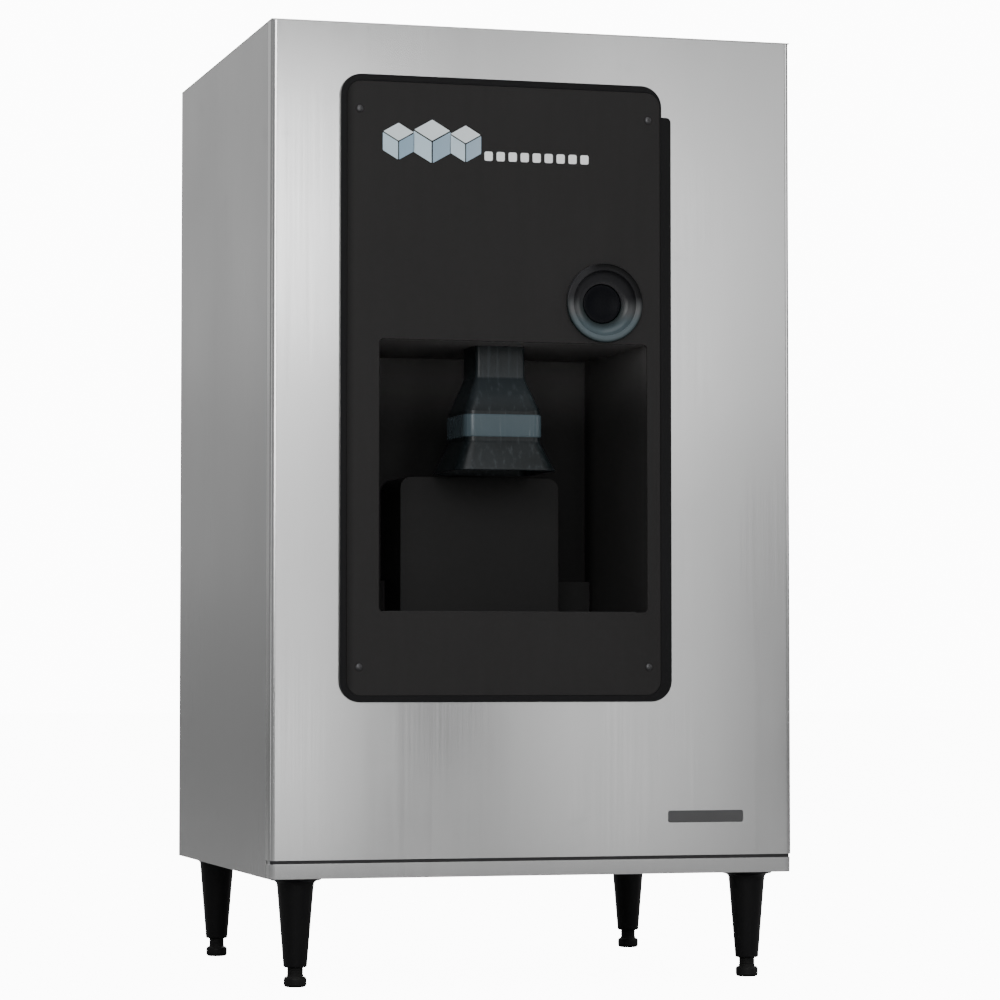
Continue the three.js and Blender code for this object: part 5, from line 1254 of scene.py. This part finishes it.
softbox("left_low", (0.34, -4.0, 0.88), (-0.1, -0.34, 0.9), 0.40, 1.80, 4.6)
softbox("left_high", (0.37, -4.0, 1.56), (-0.1, -0.34, 1.1), 0.46, 0.62, 3.4)
softbox("right_strip", (1.28, -4.0, 0.84), (0.1, -0.34, 0.9), 0.42, 1.80, 3.3)
softbox("right_high", (1.58, -4.0, 1.60), (0.2, -0.34, 1.0), 0.80, 1.20, 2.1)
softbox("middle_high", (1.05, -4.0, 1.92), (0.0, -0.34, 1.3), 0.60, 0.30, 0.45)
softbox("front_fill", (-1.3, -4.2, 1.7), (0.0, -0.3, 0.9), 1.8, 1.8, 64)
softbox("right_light", (3.6, -2.6, 1.9), (0.0, -0.3, 0.8), 1.6, 2.4, 22)
softbox("top_light", (-0.3, -1.6, 4.2), (0, -0.2, 0.9), 3.0, 2.4, 45)
softbox("rear_light", (1.7, 4.2, 2.8), (0, 0.3, 0.7), 2.6, 2.0, 60)
softbox("side_fill", (-1.5, 5.0, 2.25), (-0.38, 0.0, 0.9), 2.4, 2.0, 4.5)
softbox("side_low", (-1.5, 5.0, 0.95), (-0.38, 0.0, 0.9), 2.4, 0.6, 0.54)
softbox("rear_strip_left", (-0.35, 3.6, 0.80), (-0.2, 0.34, 0.8), 0.50, 1.5, 2.2)
softbox("rear_strip_right", (0.70, 3.6, 0.80), (0.2, 0.34, 0.8), 0.45, 1.5, 2.4)
softbox("left_side_strip", (-3.7, -0.5, 0.80), (-0.38, 0.0, 0.8), 0.60, 1.5, 3.0)
softbox("right_side_strip", (3.7, 0.4, 0.80), (0.38, 0.0, 0.8), 0.60, 1.5, 3.0)

# %% [markdown]
# The room is a pale studio. What the camera sees behind the cabinet is nearly white, as in the
# photograph, while what lights and mirrors in the steel is a grey that gets lighter with height. A
# light path node tells the two apart.

# %% Room
world = bpy.data.worlds.new("room")
bpy.context.scene.world = world
world.use_nodes = True
nodes, links = world.node_tree.nodes, world.node_tree.links
nodes.clear()
direction = nodes.new("ShaderNodeTexCoord")
split = nodes.new("ShaderNodeSeparateXYZ")
links.new(direction.outputs["Generated"], split.inputs["Vector"])
rise = nodes.new("ShaderNodeMapRange")
heights_and_tones = {"From Min": -0.14, "From Max": 0.26, "To Min": 0.25, "To Max": 0.52}
for socket, value in heights_and_tones.items():
    rise.inputs[socket].default_value = value
links.new(split.outputs["Z"], rise.inputs["Value"])
room = nodes.new("ShaderNodeBackground")
links.new(rise.outputs["Result"], room.inputs["Strength"])
paper = nodes.new("ShaderNodeBackground")
paper.inputs["Strength"].default_value = 12.5
paper.inputs["Color"].default_value = (0.975, 0.975, 0.98, 1)
seen = nodes.new("ShaderNodeLightPath")
choice = nodes.new("ShaderNodeMixShader")
links.new(seen.outputs["Is Camera Ray"], choice.inputs[0])
links.new(room.outputs["Background"], choice.inputs[1])
links.new(paper.outputs["Background"], choice.inputs[2])
output = nodes.new("ShaderNodeOutputWorld")
links.new(choice.outputs["Shader"], output.inputs["Surface"])
print(world.name, len(nodes), "nodes")

# %% [markdown]
# The floor is a wide pale sheet. It glows a little by itself, so that it runs into the white behind
# it and only a soft shade is left round the feet.

# %% Floor
select_only()
bpy.ops.mesh.primitive_plane_add(size=60, location=(0, 0, -0.0005))
floor = bpy.context.object
floor.name = "floor"
sheet = Finish("floor_sheet", Roughness=0.9, Emission_Strength=11.5)
paler_tone = sheet.noise((0.6, 0.6, 0.6), detail=2)
to_camera = sheet.node("ShaderNodeLightPath", output="Is Camera Ray")
floor.data.materials.append(sheet.done(
    Base_Color=sheet.mix(paler_tone, (0.40, 0.40, 0.40), (0.44, 0.44, 0.44)),
    Emission_Color=sheet.mix(to_camera, (0, 0, 0), (1, 1, 1)),
))
